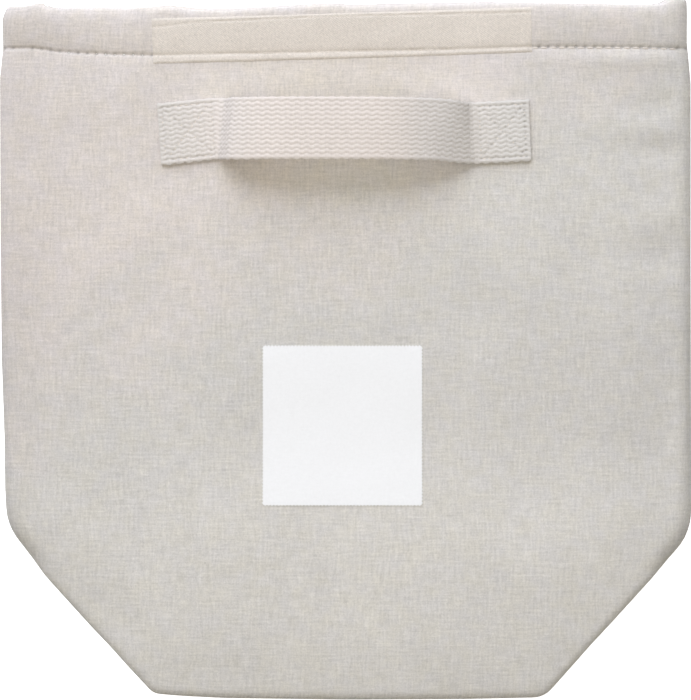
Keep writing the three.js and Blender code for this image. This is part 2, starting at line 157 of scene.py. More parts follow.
# The handle: its middle line as (x, y), the line across the front that its arch stands on, the height of its
# sewn ends' middle above the cloth, and their lengths
HANDLE_MIDDLE = [(-92.75, 108.8), (-64, 112.0), (-52, 110.7), (0, 110.5), (46, 110.4), (59, 109.4),
                 (75, 110.1), (91.75, 111.1)]
HANDLE_Y = 110.5
SEWN_HEIGHT = 0.9
LEFT_SEWN, RIGHT_SEWN = 29.0, 27.0

# The print patch: its middle, and the width of its pinked border
PATCH_X, PATCH_Y = -1.5, -36.0
PINKED_BORDER = 1.2

# Bindings inside the bag: their middles, (length, width), thickness and the radius of their edges
SIDE_BINDING_X, SIDE_BINDING_Y, SIDE_BINDING = 163.9, 34.0, (218.0, 8.0)
BASE_BINDING_Y, BASE_BINDING = -92.7, (190.0, 6.0)
BINDING_THICKNESS, BINDING_ROUND = 2.3, 0.9

# Directions of the two lamps from the bag, and the small one's distance and size in metres
KEY_AIM, TOP_AIM = (-0.2, 0.868, 0.454), (-0.05, -0.04, 1.0)
TOP_DISTANCE, TOP_SIZE = 0.5, 0.45


def length(name, text, size):
    """A length that a user may change, with its default in mm."""
    return FloatProperty(name=name, description=text, default=size * MM, min=0.0, unit="LENGTH",
                         subtype="DISTANCE", precision=5)


def strength(name, text, default, unit="NONE"):
    return FloatProperty(name=name, description=text, default=default, min=0.0, unit=unit)


def colour(name, text, *default):
    return FloatVectorProperty(name=name, description=text, default=default, size=3, min=0.0, max=1.0,
                               subtype="COLOR")


class WallSettings(bpy.types.PropertyGroup):
    """The padded wall of the bag."""

    cloth: length("Cloth", "Thickness of the outer cloth", 0.6)
    foam: length("Foam", "Thickness of the foam inside the wall", 2.4)
    hem_foam: length("Hem foam", "Thickness of the foam in the band and the hem", 2.2)
    lining: length("Lining", "Thickness of the lining film", 0.4)
    gap: length("Layer gap", "Space between two layers of the wall", 0.3)
    crown: length("Crown", "How much lower the front is near its edges than in the middle", 2.2)
    puff: length("Hem puff", "How far the padded hem swells between its seam and the rim", 0.8)
    lip_drop: length("Lip drop", "How far the hem curves down towards the rim", 2.2)
    groove: length("Hem groove", "How deep the hem's stitches pull the cloth in", 1.0)


class HandleSettings(bpy.types.PropertyGroup):
    """The webbing handle."""

    width: length("Width", "Width of the webbing", 30.5)
    thickness: length("Thickness", "Thickness of the webbing without its ribs", 1.2)
    arch: length("Arch", "Height of the raised middle above the front", 21)
    ribs: IntProperty(name="Ribs", description="Number of ribs woven along the webbing", default=13, min=1)
    rib_height: length("Rib height", "Height of a rib above the grooves beside it", 0.31)
    wave: length("Wave", "Length of one wave of the ribs", 4.9)
    sway: length("Sway", "How far each wave carries a rib sideways", 0.5)


class TrimSettings(bpy.types.PropertyGroup):
    """Tapes, print patch and thread."""

    tape_length: length("Tape length", "Length of the loop tape and of the hook tape", 189)
    tape_width: length("Tape width", "Width of both tapes", 22.5)
    tape_thickness: length("Tape thickness", "Thickness of both tapes", 0.8)
    patch_side: length("Patch side", "Side of the square print patch", 80)
    patch_thickness: length("Patch thickness", "Thickness of the print patch", 0.25)
    tooth: length("Pinked tooth", "Width of one tooth of the patch's pinked edge", 1.65)
    thread: length("Thread", "Width of a stitch", 0.75)
    hem_pitch: length("Hem stitch", "Length of one stitch of the hem with its gap", 4.6)
    trim_pitch: length("Trim stitch", "Length of one stitch of the tapes and the handle with its gap", 2.9)


class ColourSettings(bpy.types.PropertyGroup):
    """Colours of the finishes, as linear light."""

    cloth: colour("Cloth", "Natural cotton and linen canvas", 0.626, 0.612, 0.588)
    webbing: colour("Webbing", "Undyed cotton webbing", 0.70, 0.643, 0.613)
    tape: colour("Tape", "Loop and hook tape", 0.692, 0.638, 0.583)
    thread: colour("Thread", "Sewing thread", 0.72, 0.66, 0.60)
    patch: colour("Patch", "White cotton of the print patch", 0.818, 0.83, 0.858)
    foam: colour("Foam", "Closed-cell foam", 0.78, 0.78, 0.76)
    lining: colour("Lining", "Metallised lining film", 0.82, 0.83, 0.85)
    binding: colour("Binding", "Tape that binds the seams inside", 0.70, 0.68, 0.64)
    floor: colour("Floor", "Pale floor under the bag", 0.93, 0.93, 0.93)


class StageSettings(bpy.types.PropertyGroup):
    """Camera, light and floor."""

    distance: length("Camera distance", "Height of the camera above the middle of the bag", 1250)
    view: length("View", "Height of the floor strip that the camera frames", 350)
    look_y: length("Look at", "Distance from the origin towards the rim of the point looked at", 1.6)
    key_power: strength("Key light", "Power of the big soft light", 76.5, "POWER")
    key_size: length("Key size", "Side of the big soft light", 2500)
    key_distance: length("Key distance", "Distance from the bag to the big soft light", 2100)
    key_colour: colour("Key colour", "Colour of the big soft light", 0.862, 0.903, 1.0)
    top_power: strength("Top light", "Power of the small light straight above", 1.008, "POWER")
    ambient: strength("Ambient", "Strength of the light of the room, overhead", 0.336)
    ambient_colour: colour("Ambient colour", "Colour of the light of the room", 1.0, 0.94, 0.818)
    floor_glow: strength("Floor glow", "How white the floor shines for the camera", 1.0)


class CoolerBagSettings(bpy.types.PropertyGroup):
    """Everything a user may change."""

    wall: PointerProperty(type=WallSettings)
    handle: PointerProperty(type=HandleSettings)
    trim: PointerProperty(type=TrimSettings)
    colours: PointerProperty(type=ColourSettings)
    stage: PointerProperty(type=StageSettings)


def bag():
    """The settings of the bag in this scene."""
    return bpy.context.scene.cooler_bag


def eased(t):
    """0 below 0, 1 above 1, and a smooth step between."""
    t = np.clip(t, 0, 1)
    return t * t * (3 - 2 * t)


def bell(off, reach):
    """1 at 0, falling smoothly to nothing over a few reaches."""
    return np.exp(-(off / reach) ** 2)


def smoothed(line, reach):
    """A row of values averaged over this many neighbours, an odd number."""
    window = np.hanning(reach + 2)[1:-1]
    return np.convolve(np.pad(line, reach // 2, mode="edge"), window / window.sum(), mode="valid")


def through(points, blur):
    """A smooth function through a few (place, value) points, its corners blurred over a reach in mm."""
    fine = np.arange(-220, 220.5, 0.5)
    line = smoothed(np.interp(fine, *zip(*points)), 2 * int(2 * blur) + 1)
    return lambda at: np.interp(at, fine, line)


def rippled(x, y, size, seed):
    """Smooth noise about zero on a plane, with features of this size in mm."""
    flat = [noise(Vector((a / size, b / size, seed))) for a, b in zip(np.ravel(x), np.ravel(y))]
    return np.reshape(flat, np.shape(x))


def marks(start, stop, step):
    """Even marks from start to stop, about a step apart."""
    return list(np.linspace(start, stop, max(2, int(round(abs(stop - start) / step)) + 1)))


def lengths_along(places, axis):
    """Distance in mm run along rows (axis 1) or columns (axis 0) of a grid of places."""
    steps = np.linalg.norm(np.diff(places, axis=axis), axis=2)
    start = np.zeros_like(np.take(steps, [0], axis=axis))
    return np.cumsum(np.concatenate([start, steps], axis=axis), axis=axis)


def rounded_line(corners):
    """Points along a line through (x, y, radius) corners, each rounded to its radius."""
    points = [np.array(corners[0][:2], float)]
    for before, (x, y, radius), after in zip(corners, corners[1:], corners[2:]):
        here = np.array((x, y), float)
        a, b = np.array(before[:2], float) - here, np.array(after[:2], float) - here
        a, b = a / np.linalg.norm(a), b / np.linalg.norm(b)
        run = radius / math.tan(math.acos(np.clip(a @ b, -1, 1)) / 2)
        for t in np.linspace(0, 1, 9):
            start, end = here + a * run, here + b * run
            points.append((1 - t) ** 2 * start + 2 * t * (1 - t) * here + t * t * end)
    points.append(np.array(corners[-1][:2], float))
    return np.array(points)


left_line, right_line = rounded_line(LEFT_SIDE), rounded_line(RIGHT_SIDE)
outline = np.vstack([left_line, right_line[::-1]])
rim_wander, seam_wander = through(RIM_WANDER, 4), through(SEAM_WANDER, 6)
bottom_wander, upper_margin = through(BOTTOM_WANDER, 8), through(UPPER_MARGIN, 4)


def side_x(line, y):
    """x of one side of the outline at y."""
    return np.interp(y, line[::-1, 1], line[::-1, 0])


def distance_to(x, y, segments):
    """Distance of each point from the nearest of some straight segments."""
    nearest = np.full(x.shape, np.inf)
    for (ax, ay), (bx, by) in segments:
        dx, dy = bx - ax, by - ay
        along = np.clip(((x - ax) * dx + (y - ay) * dy) / max(dx * dx + dy * dy, 1e-12), 0, 1)
        nearest = np.minimum(nearest, np.hypot(x - ax - along * dx, y - ay - along * dy))
    return nearest


def roundness(distance, radius):
    """Share of the full thickness at a distance from an edge that is a half round of this radius."""
    return np.sqrt(np.maximum(0, 1 - (1 - np.clip(distance / radius, 0, 1)) ** 2))


def half_thickness(y):
    """Half the thickness of the flat bag at y."""
    return BASE_HALF + (RIM_HALF - BASE_HALF) * eased((y - TAPER[0]) / (TAPER[1] - TAPER[0]))


def wandered(x, y, extra=0.0):
    """The real place across the bag of a point whose place on the straight pattern is (x, y)."""
    rim = (rim_wander(x) + extra) * eased((y - RIM + RIM_FELT) / (RIM_FELT - RIM_PLAY))
    seam = seam_wander(x) * np.clip(1 - np.abs(y - SEAM) / SEAM_FELT, 0, 1)
    bottom = bottom_wander(x) * np.clip(1 - (y - BOTTOM) / BOTTOM_FELT, 0, 1) ** 2
    return y + rim + seam + bottom


def crown_drop(away):
    """How much lower the cloth lies at a distance from the bag's edge than in its middle."""
    return bag().wall.crown / MM * np.clip(1 - away / CROWN_REACH, 0, 1) ** 2


def soft_swell(x, y, away):
    """Hills and hollows of cloth over foam, and a sag at the middle of the rim, dying out at the edges."""
    height = sum(high * rippled(x, y, size, seed) for size, high, seed in (HILLS, RIPPLES))
    sag = RIM_SAG * eased((y - SAG_START) / (SAG_FULL - SAG_START))
    height -= sag * eased((SAG_END - np.abs(x)) / (SAG_END - SAG_FADE))
    for middle_x, middle_y, reach_x, reach_y, high in SWELLS:
        height += high * bell(x - middle_x, reach_x) * bell(y - middle_y, reach_y)
    return height * eased((away - 1) / 14)


def hook_bed(x, y):
    """Depth that the hook tape presses into the back."""
    reach_x = bag().trim.tape_length / MM / 2 + BED_MARGIN
    reach_y = bag().trim.tape_width / MM / 2 + BED_MARGIN
    inside_x = eased((reach_x - np.abs(x - TAPE_X)) / 2 + 0.4)
    inside_y = eased((reach_y - np.abs(y - HOOK_TAPE_Y)) / 2 + 0.4)
    return HOOK_BED * inside_x * inside_y


def under_tape(x, side):
    """1 where the loop tape lies over the hem, 0 beside it."""
    return eased((94 - np.abs(x - TAPE_X)) / 8 + 0.5) * (side == "front")


def tightness(x):
    """0 at the left of the hem, 1 at its right, where its thread is pulled tighter and cleaner."""
    return eased((x + 60) / 150)


def at_needle(x):
    """1 at each needle hole of the hem's stitches, 0 halfway between two."""
    return 0.5 + 0.5 * np.cos(2 * math.pi * x / (bag().trim.hem_pitch / MM))


def seam_pull(x, y, side):
    """How far the hem's stitches and padding move the outer cloth: in at the seam, out above it."""
    wall, tight, held = bag().wall, tightness(x), under_tape(x, side)
    off = y - SEAM + 0.3 * rippled(x, 0 * y, 3.1, 4.4) * (1 - tight)
    up, down = np.maximum(off, 0), np.minimum(off, 0)
    above = (1.05 - 0.3 * tight) * np.exp(-up / 4.6)
    below = (0.8 + 0.45 * tight) * np.exp(down / (5.2 - 0.6 * tight))
    wide = np.where(off > 0, above + (below - above) * np.exp(-up / 1.2), below)
    sharp = (0.45 - 0.35 * tight + 0.5 * at_needle(x) ** 3) * bell(off, STITCH_PULL)
    pull = wall.groove / MM * (wide * 0.95 + sharp) * (1 - 0.12 * tight) * (1 - 0.55 * held)
    puff = wall.puff / MM * np.sin(math.pi * np.clip(off / (RIM + 4 - SEAM), 0, 1)) ** 0.6
    wrinkles = 0.3 * rippled(x, y * 0.22, 4.6, 11.3) * bell(off, 6.0)
    wrinkles += 0.25 * rippled(x, y * 0.4, 13.0, 2.9) * bell(off, 12.0)
    return (puff * (1 - 0.7 * held) + wrinkles - pull) * eased((off + 40) / 22)


def columns(y, inset, step):
    """x of every point across the bag at y, this far inside the outline, closer together near the sides."""
    edge = np.array(EDGE_STEPS) * (1 - inset / SIDE_RADIUS)
    left, right = side_x(left_line, y) + inset, side_x(right_line, y) - inset
    inner = int(round((WIDTH - 2 * EDGE_STEPS[-1]) / step))
    between = left + edge[-1] + (right - left - 2 * edge[-1]) * np.arange(1, inner) / inner
    return np.concatenate([left + edge, between, (right - edge)[::-1]])


def flat_map(places, v):
    """UV of a grid of places in metres: run across each row from its middle, and the given v of the row."""
    run = lengths_along(places, 1)
    u = run - run[:, [run.shape[1] // 2]]
    return np.stack([u * MM, np.broadcast_to(np.reshape(v, (-1, 1)), u.shape) * MM], axis=2)


def body_grid(step):
    """Places and UV of the cloth below SPLIT: down the front, into the folded base, and up the back."""
    down = np.concatenate([np.arange(SPLIT, BOTTOM + EDGE_STEPS[-1] + step, -step),
                           BOTTOM + np.array(EDGE_STEPS), [BASE_FOLD]])
    down = np.sort(down)[::-1]
    down = down[np.append(True, np.abs(np.diff(down)) > 0.05)]
    inner = down[(down >= BOTTOM) & (down <= BASE_FOLD)][::-1][1:]
    rows = np.concatenate([down, inner, [BASE_FOLD], inner[::-1], down[::-1]])
    parts = ["front", "front flap", "fold", "back flap", "back"]
    part = np.repeat(parts, [len(down), len(inner), 1, len(inner), len(down)])[:, None]
    x = np.array([columns(y, 0.0, step) for y in rows])
    y = np.broadcast_to(rows[:, None], x.shape)
    away = distance_to(x, y, zip(outline[:-1], outline[1:]))
    half = half_thickness(y)
    spread = (half + PLEAT_HALF) / 2 * (1 - eased((y - FLAP_EASE[0]) / (FLAP_EASE[1] - FLAP_EASE[0])))
    reach = half - spread
    shape = roundness(away, reach)
    crown = crown_drop(away) * (1 - 0.15 * eased((-118 - y) / 30))
    front = half + spread + (reach - crown + seam_pull(x, y, "front")) * shape + soft_swell(x, y, away)
    back = reach - (reach - 0.3 * crown + seam_pull(x, y, "back")) * shape + hook_bed(x, y)
    front_flap = half + spread + (PLEAT_HALF - spread) * shape
    back_flap = reach - (PLEAT_HALF - spread) * shape
    z = np.select([part == name for name in parts], [front, front_flap, half, back_flap, back])
    real_y = wandered(x, y) + np.where(part == "fold", PLEAT_HALF * roundness(away, 4.0), 0)
    places = np.stack([x, real_y, z], axis=2)
    turns = np.cumsum(np.append(0, np.abs(np.diff(rows)) + np.abs(np.diff(z[:, x.shape[1] // 2]))))
    return places[::-1], flat_map(places, SPLIT - turns)[::-1]


def top_grid(side, rows, step):
    """Places of one layer of the bag's top. rows holds (y, depth from the outer surface) for each row."""
    front = side == "front"
    sign = 1 if front else -1
    x = np.array([columns(y, depth, step) for y, depth in rows])
    y, inset = (np.broadcast_to(np.array(values, float)[:, None], x.shape) for values in zip(*rows))
    half = half_thickness(y)
    outer_x = x + np.where(x < 0, -inset, inset)
    away = np.minimum(x - side_x(left_line, y) - inset, side_x(right_line, y) - inset - x)
    shape = roundness(away, half * (1 - inset / SIDE_RADIUS))
    crown = crown_drop(away) * (1 if front else 0.3)
    pucker = sign * seam_pull(outer_x, y, side) * (1 - 2 * inset / HEM_WALL)
    swell = soft_swell(outer_x, y, away) if front else 0
    held = under_tape(outer_x, side)
    lip = np.clip(2 - 2 * inset / HEM_WALL, 0, 1) * (1 - roundness(RIM - y, HEM_ROUND * (1 - 0.55 * held)))
    drop = sign * bag().wall.lip_drop / MM * lip * (1 + 0.45 * held)
    z = half + (sign * (half - inset - crown) + swell + pucker - drop) * shape
    if not front:
        z = np.maximum(z + hook_bed(x, y), inset)
    corner = (1.6 if front else 2.8) * bell(outer_x + 155.2, 4.0)
    ripple = 0.35 * rippled(outer_x, np.full_like(outer_x, 5.0), 22, 1.7)
    return np.stack([x, wandered(outer_x, y, corner + ripple - (0.0 if front else 0.5)), z], axis=2)


def woven_mesh(places, uv, pricks=None):
    """A mesh from a grid, each of its points moved to its place. places and uv are by row and column.

    pricks says how deep each point lies in a needle's hole, from 0 to 1, for the material to darken as painted
    shade in the hole.
    """
    rows, across = places.shape[:2]
    bm = bmesh.new()
    weave = bm.loops.layers.uv.new("weave")
    hole_shade = bm.verts.layers.float.new("hole_shade")
    bmesh.ops.create_grid(bm, x_segments=across - 1, y_segments=rows - 1, size=0.5)
    spot = {v: (round((v.co.y + 0.5) * (rows - 1)), round((v.co.x + 0.5) * (across - 1))) for v in bm.verts}
    for face in bm.faces:
        for loop in face.loops:
            loop[weave].uv = uv[spot[loop.vert]]
    for vert, at in spot.items():
        vert.co = Vector(places[at]) * MM
        vert[hole_shade] = 0.0 if pricks is None else pricks[at]
    return bm


def tube(rows, step):
    """A layer of the bag's top, front and back joined along the sides."""
    off_seam = np.array([abs(y - SEAM) if depth == 0 else np.inf for y, depth in rows])[:, None]
    halves = []
    for side in ("front", "back"):
        places = top_grid(side, rows, step)
        run = lengths_along(places, 0)[:, places.shape[1] // 2]
        pricks = at_needle(places[..., 0]) ** 4 * bell(off_seam, STITCH_PULL)
        halves.append(woven_mesh(places, flat_map(places, SPLIT + run), pricks))
    whole, back = halves
    bmesh.ops.reverse_faces(back, faces=back.faces)
    spare = bpy.data.meshes.new("spare")
    back.to_mesh(spare)
    back.free()
    whole.from_mesh(spare)
    bpy.data.meshes.remove(spare)
    return whole


def finished(bm, name, material, thick=None, merge=False, flip=False):
    """Turns a bmesh into an object of the scene, and gives a sheet its thickness behind its visible face.

    Each point's place at rest is kept in an attribute, so that a pattern stays on the cloth as it bends.
    """
    if merge:
        bmesh.ops.remove_doubles(bm, verts=bm.verts, dist=MERGE * MM)
        bmesh.ops.dissolve_degenerate(bm, edges=bm.edges, dist=1e-6)
    if flip:
        bmesh.ops.reverse_faces(bm, faces=bm.faces)
    for face in bm.faces:
        face.smooth = True
    for edge in bm.edges:
        edge.smooth = not edge.is_boundary
    mesh = bpy.data.meshes.new(name)
    bm.to_mesh(mesh)
    bm.free()
    places = np.empty(len(mesh.vertices) * 3, np.float32)
    mesh.vertices.foreach_get("co", places)
    mesh.attributes.new("rest_place", "FLOAT_VECTOR", "POINT").data.foreach_set("vector", places)
    obj = bpy.data.objects.new(name, mesh)
    bpy.context.scene.collection.objects.link(obj)
    mesh.materials.append(bpy.data.materials[material])
    if thick:
        wall = obj.modifiers.new("Wall", "SOLIDIFY")
        wall.thickness, wall.offset, wall.use_even_offset, wall.use_rim = thick, -1, False, True
    return obj


def bend(fold, *pieces):
    """Bakes each piece's placement into its mesh."""
    for obj in pieces:
        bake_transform(obj)


def cloth_heights(x, y, back=False):
    """z in mm of the bag's cloth at each (x, y), as met from the front or from behind."""
    sheets = [bpy.data.objects[name].data for name in ("bag_cloth", "top_cloth")]
    trees = [BVHTree.FromPolygons([v.co for v in mesh.vertices], [p.vertices for p in mesh.polygons])
             for mesh in sheets]
    start, way = (-0.1, 1) if back else (0.1, -1)

    def height(a, b):
        hits = [tree.ray_cast(Vector((a * MM, b * MM, start)), Vector((0, 0, way)))[0] for tree in trees]
        found = [hit.z / MM for hit in hits if hit]
        if not found:
            raise RuntimeError(f"no cloth at {a:.1f}, {b:.1f}")
        return min(found) if back else max(found)

    return np.vectorize(height, otypes=[float])(x, y)


def stitch_line(bm, points, pitch, sink):
    """Sews stitches along a line of (place, direction out of the cloth) pairs in mm."""
    places, outs = (np.array(part) for part in zip(*points))
    run = lengths_along(places[None], 1)[0]
    count = max(1, int(round(run[-1] / pitch)))
    wide = bag().trim.thread / MM

    def at(stitch, values):
        return Vector([np.interp(stitch * run[-1] / count, run, column) for column in values.T])

    for k in range(count):
        start, end, out = at(k + 0.12, places), at(k + 0.88, places), at(k + 0.5, outs).normalized()
        along = (end - start).normalized()
        across = out.cross(along).normalized()
        turn = Matrix((along, across, along.cross(across))).transposed().to_4x4()
        middle = (start + end) / 2 - out * sink * wide
        scale = Matrix.Diagonal(((end - start).length / 2 + 0.1, wide / 2, wide * 0.42, 1))
        bmesh.ops.create_uvsphere(bm, u_segments=8, v_segments=5, radius=MM,
                                  matrix=Matrix.Translation(middle * MM) @ turn @ scale)


def grid_surface(places, s, t, toward=1):
    """A function from (s, t) on a grid of places to a point on it and the direction out of it."""
    down, across = s.shape

    def look(a, b):
        i, j = np.interp(b, t[:, 0], np.arange(down)), np.interp(a, s[0], np.arange(across))
        i0, j0 = min(int(i), down - 2), min(int(j), across - 2)
        fi, fj = i - i0, j - j0
        p = places[i0:i0 + 2, j0:j0 + 2]
        spot = (p[0, 0] * (1 - fj) + p[0, 1] * fj) * (1 - fi) + (p[1, 0] * (1 - fj) + p[1, 1] * fj) * fi
        out = np.cross(p[0, 1] - p[0, 0], p[1, 0] - p[0, 0])
        return spot, out / np.linalg.norm(out) * toward

    return look


def line_on(look, start, end):
    """Points of a straight line between two (s, t) places of a surface."""
    count = max(2, int(math.dist(start, end) / 0.7))
    return [look(*(a + (b - a) * k / count for a, b in zip(start, end))) for k in range(count + 1)]


class COOLERBAG_OT_cloth(bpy.types.Operator):
    """Outer cloth: the body with its folded base, and the top with its turned and stitched hem"""

    bl_idname = "cooler_bag.cloth"
    bl_label = "Outer cloth"

    def execute(self, context):
        thick = bag().wall.cloth
        body = finished(woven_mesh(*body_grid(3.6)), "bag_cloth", "Canvas", thick, merge=True)
        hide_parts("front_cloth", "back_cloth")
        bend(FOLD_2, body)
        radius = HEM_WALL / 2
        rows = [(y, 0.0) for y in marks(SPLIT, 149, 1.4)[:-1] + marks(149, 157, 0.5)[:-1]]
        rows += [(y, 0.0) for y in marks(157, RIM - radius, 1.5)]
        rows += [(RIM - radius + radius * math.sin(turn), radius - radius * math.cos(turn))
                 for turn in np.linspace(0, math.pi, 9)[1:-1]]
        rows += [(y, HEM_WALL) for y in marks(RIM - radius, HEM_CLOTH_END, 2.5)]
        top = finished(tube(rows, 1.15), "top_cloth", "Canvas", thick, merge=True)
        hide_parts("front_band_cloth", "back_band_cloth", "front_hem", "back_hem")
        bend(FOLD_1, top)
        return {"FINISHED"}


class COOLERBAG_OT_padding(bpy.types.Operator):
    """Foam and lining film inside the walls"""

    bl_idname = "cooler_bag.padding"
    bl_label = "Foam and lining"

    def inner_layer(self, depth):
        """The body's cloth moved in to this depth. Its sides keep clear of the outline, most at the fold."""
        bm = woven_mesh(*body_grid(5.5))
        bmesh.ops.remove_doubles(bm, verts=bm.verts, dist=MERGE * MM)
        bm.normal_update()
        for vert in bm.verts:
            move = vert.normal * depth * MM
            vert.co -= Vector((move.x, 0 if vert.is_boundary else move.y, move.z))
            y = vert.co.y / MM
            room = depth + bag().wall.foam / MM * max(0.0, 1 - abs(y - BASE_FOLD) / 9)
            left, right = side_x(left_line, y) + room, side_x(right_line, y) - room
            vert.co.x = float(np.clip(vert.co.x / MM, left, right)) * MM
        return bm

    def execute(self, context):
        wall = bag().wall
        foam_depth = (wall.cloth + wall.gap) / MM
        film_depth = (wall.cloth + 2 * wall.gap + wall.foam + wall.lining) / MM
        foam = finished(self.inner_layer(foam_depth), "bag_foam", "Foam", wall.foam, merge=True)
        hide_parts("front_foam", "back_foam")
        lining = finished(self.inner_layer(film_depth), "bag_lining", "Lining film", wall.lining,
                          merge=True, flip=True)
        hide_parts("front_lining", "back_lining")
        bend(FOLD_2, foam, lining)
        rows = [(y, foam_depth) for y in marks(SPLIT, RIM - wall.hem_foam / MM, 1.5)]
        top_foam = finished(tube(rows, 4.0), "top_foam", "Foam", wall.hem_foam, merge=True)
        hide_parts("front_band_foam", "back_band_foam", "front_hem_foam", "back_hem_foam")
        rows = [(y, film_depth) for y in marks(SPLIT, LINING_TOP, 1.2)]
        top_lining = finished(tube(rows, 4.0), "top_lining", "Lining film", wall.lining,
                              merge=True, flip=True)
        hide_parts("front_band_lining", "back_band_lining")
        bend(FOLD_1, top_foam, top_lining)
        return {"FINISHED"}


class COOLERBAG_OT_bindings(bpy.types.Operator):
    """Folded tapes that bind the seams inside the bag"""

    bl_idname = "cooler_bag.bindings"
    bl_label = "Seam bindings"

    def strip(self, name, middle, size, upright=False):
        """A folded strip of binding tape about a middle, pulled into soft waves along its length."""
        bm = bmesh.new()
        bm.loops.layers.uv.new("weave")
        bmesh.ops.create_cube(bm, size=1)

        def span(edge):
            return abs(edge.verts[0].co.x - edge.verts[1].co.x)

        long_edges = [e for e in bm.edges if span(e) > 0.5]
        bmesh.ops.subdivide_edges(bm, edges=long_edges, cuts=60, use_grid_fill=True)
        sharp = [e for e in bm.edges if e.is_manifold and e.calc_face_angle() > 1 and span(e) > 1e-4]
        for v in bm.verts:
            wave = 0.25 * math.sin(v.co.x * 40)
            v.co = Vector((v.co.x * size[0], v.co.y * size[1] + wave, v.co.z * BINDING_THICKNESS))
        bmesh.ops.bevel(bm, geom=sharp, offset=BINDING_ROUND, offset_type="OFFSET", segments=3, profile=0.5,
                        affect="EDGES", material=-1)
        turn = Matrix.Rotation(math.pi / 2 if upright else 0.0, 4, "Z")
        for v in bm.verts:
            x, y, z = turn @ v.co + Vector((*middle, 0))
            v.co = Vector((x, y, z + float(half_thickness(y)))) * MM
        return finished(bm, name, "Binding tape")

    def execute(self, context):
        for side, x in (("left", -SIDE_BINDING_X), ("right", SIDE_BINDING_X)):
            obj = self.strip(f"{side}_binding", (x, SIDE_BINDING_Y), SIDE_BINDING, upright=True)
            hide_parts(f"{side}_seam_binding", f"{side}_band_binding")
            bend(FOLD_2, obj)
        base = self.strip("base_binding", (0, BASE_BINDING_Y), BASE_BINDING)
        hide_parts("base_seam_binding")
        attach(base, "bag")
        return {"FINISHED"}


def seam_in_tape(s):
    """Where the hem's seam runs across the loop tape, as t at each s."""
    x = TAPE_X + s * math.cos(TAPE_TURN)
    return (wandered(x, SEAM + 0 * x) - LOOP_TAPE_Y - s * math.sin(TAPE_TURN)) / math.cos(TAPE_TURN)


def upper_seam(s):
    """Where the upper stitches run along the loop tape, as t at each s."""
    return bag().trim.tape_width / MM / 2 - upper_margin(s)


def tape_grid(front):
    """Places of the outer face of the loop tape or the hook tape, and its (s, t), counted from its middle."""
    trim = bag().trim
    long, wide, thick = trim.tape_length / MM, trim.tape_width / MM, trim.tape_thickness / MM
    s, t = np.meshgrid(marks(-long / 2, long / 2, 1.5), marks(-wide / 2, wide / 2, 0.45))
    turn, middle = (TAPE_TURN, LOOP_TAPE_Y) if front else (0.0, HOOK_TAPE_Y)
    x = TAPE_X + s * math.cos(turn) - t * math.sin(turn)
    y = middle + s * math.sin(turn) + t * math.cos(turn)
    from_end, from_side = long / 2 - np.abs(s), wide / 2 - np.abs(t)
    if not front:
        edge = np.minimum(from_end, from_side)
        sewn = 0.42 * bell(edge - STITCH_MARGIN, 0.8) + 0.32 * bell(edge, 0.7)
        return np.stack([x, y, 0.02 + sewn * 0.6], axis=2), s, t
    sewn = 0.3 * bell(t - upper_seam(s), 0.5) + 0.3 * bell(t - seam_in_tape(s), 0.6)
    sewn += 0.2 * bell(from_end - STITCH_MARGIN, 0.6)
    sewn *= 0.7 + rippled(s, 0 * t, 8, 4.2)
    below = cloth_heights(x, y)
    bridged = np.array([smoothed(line, 5) for line in below.T]).T
    free = eased((t + wide / 2) / 1.6)
    sag = 0.13 * rippled(x, y, 30, 5.5) + 0.1 * rippled(x, y, 7, 2.5)
    rounded = np.minimum(0.22 + 0.78 * eased(from_side / 1.0), 0.4 + 0.6 * eased(from_end / 0.7))
    z = below * (1 - free) + (np.maximum(below, bridged) + sag) * free + 0.7 * thick * rounded - sewn + 0.05
    return np.stack([x, y, z], axis=2), s, t


class COOLERBAG_OT_tapes(bpy.types.Operator):
    """Loop tape across the front of the rim and hook tape across the back, with their stitches"""

    bl_idname = "cooler_bag.tapes"
    bl_label = "Closure tapes"

    def tape(self, name, material, front):
        """A tape, and its surface to sew on. Its pattern runs on the slant, so that no rows of loops show."""
        trim = bag().trim
        places, s, t = tape_grid(front)
        bias = math.radians(38)
        u, v = s * math.cos(bias) - t * math.sin(bias), s * math.sin(bias) + t * math.cos(bias)
        bm = woven_mesh(places, np.stack([u * MM, v * MM], axis=2))
        obj = finished(bm, name, material, trim.tape_thickness, flip=not front)
        corner = obj.modifiers.new("Edge", "BEVEL")
        corner.width, corner.segments, corner.limit_method, corner.angle_limit = 0.25 * MM, 2, "ANGLE", 1.0
        return obj, grid_surface(places, s, t, 1 if front else -1)

    def border(self, name, look, lower, upper):
        """Stitches near the four edges of a tape. lower and upper give the t of its long rows at each s."""
        long = bag().trim.tape_length / MM / 2 - STITCH_MARGIN
        rows = [[look(s, float(row(s))) for s in np.linspace(-long, long, 200)] for row in (lower, upper)]
        rows += [line_on(look, (s, float(lower(s))), (s, float(upper(s)))) for s in (-long, long)]
        bm = bmesh.new()
        for row in rows:
            stitch_line(bm, row, bag().trim.trim_pitch / MM, 0.25)
        return finished(bm, name, "Thread")

    def execute(self, context):
        loop, look = self.tape("front_loop_tape", "Loop tape", True)
        stitches = self.border("front_loop_tape_stitches", look, seam_in_tape, upper_seam)
        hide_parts("loop_tape")
        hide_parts("loop_tape_stitching")
        bend(FOLD_1, loop, stitches)
        hook, look = self.tape("back_hook_tape", "Hook tape", False)
        edge = bag().trim.tape_width / MM / 2 - STITCH_MARGIN
        stitches = self.border("back_hook_tape_stitches", look, lambda s: -edge, lambda s: edge)
        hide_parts("hook_tape")
        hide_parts("hook_tape_stitching")
        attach(hook, "bag")
        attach(stitches, "bag")
        return {"FINISHED"}


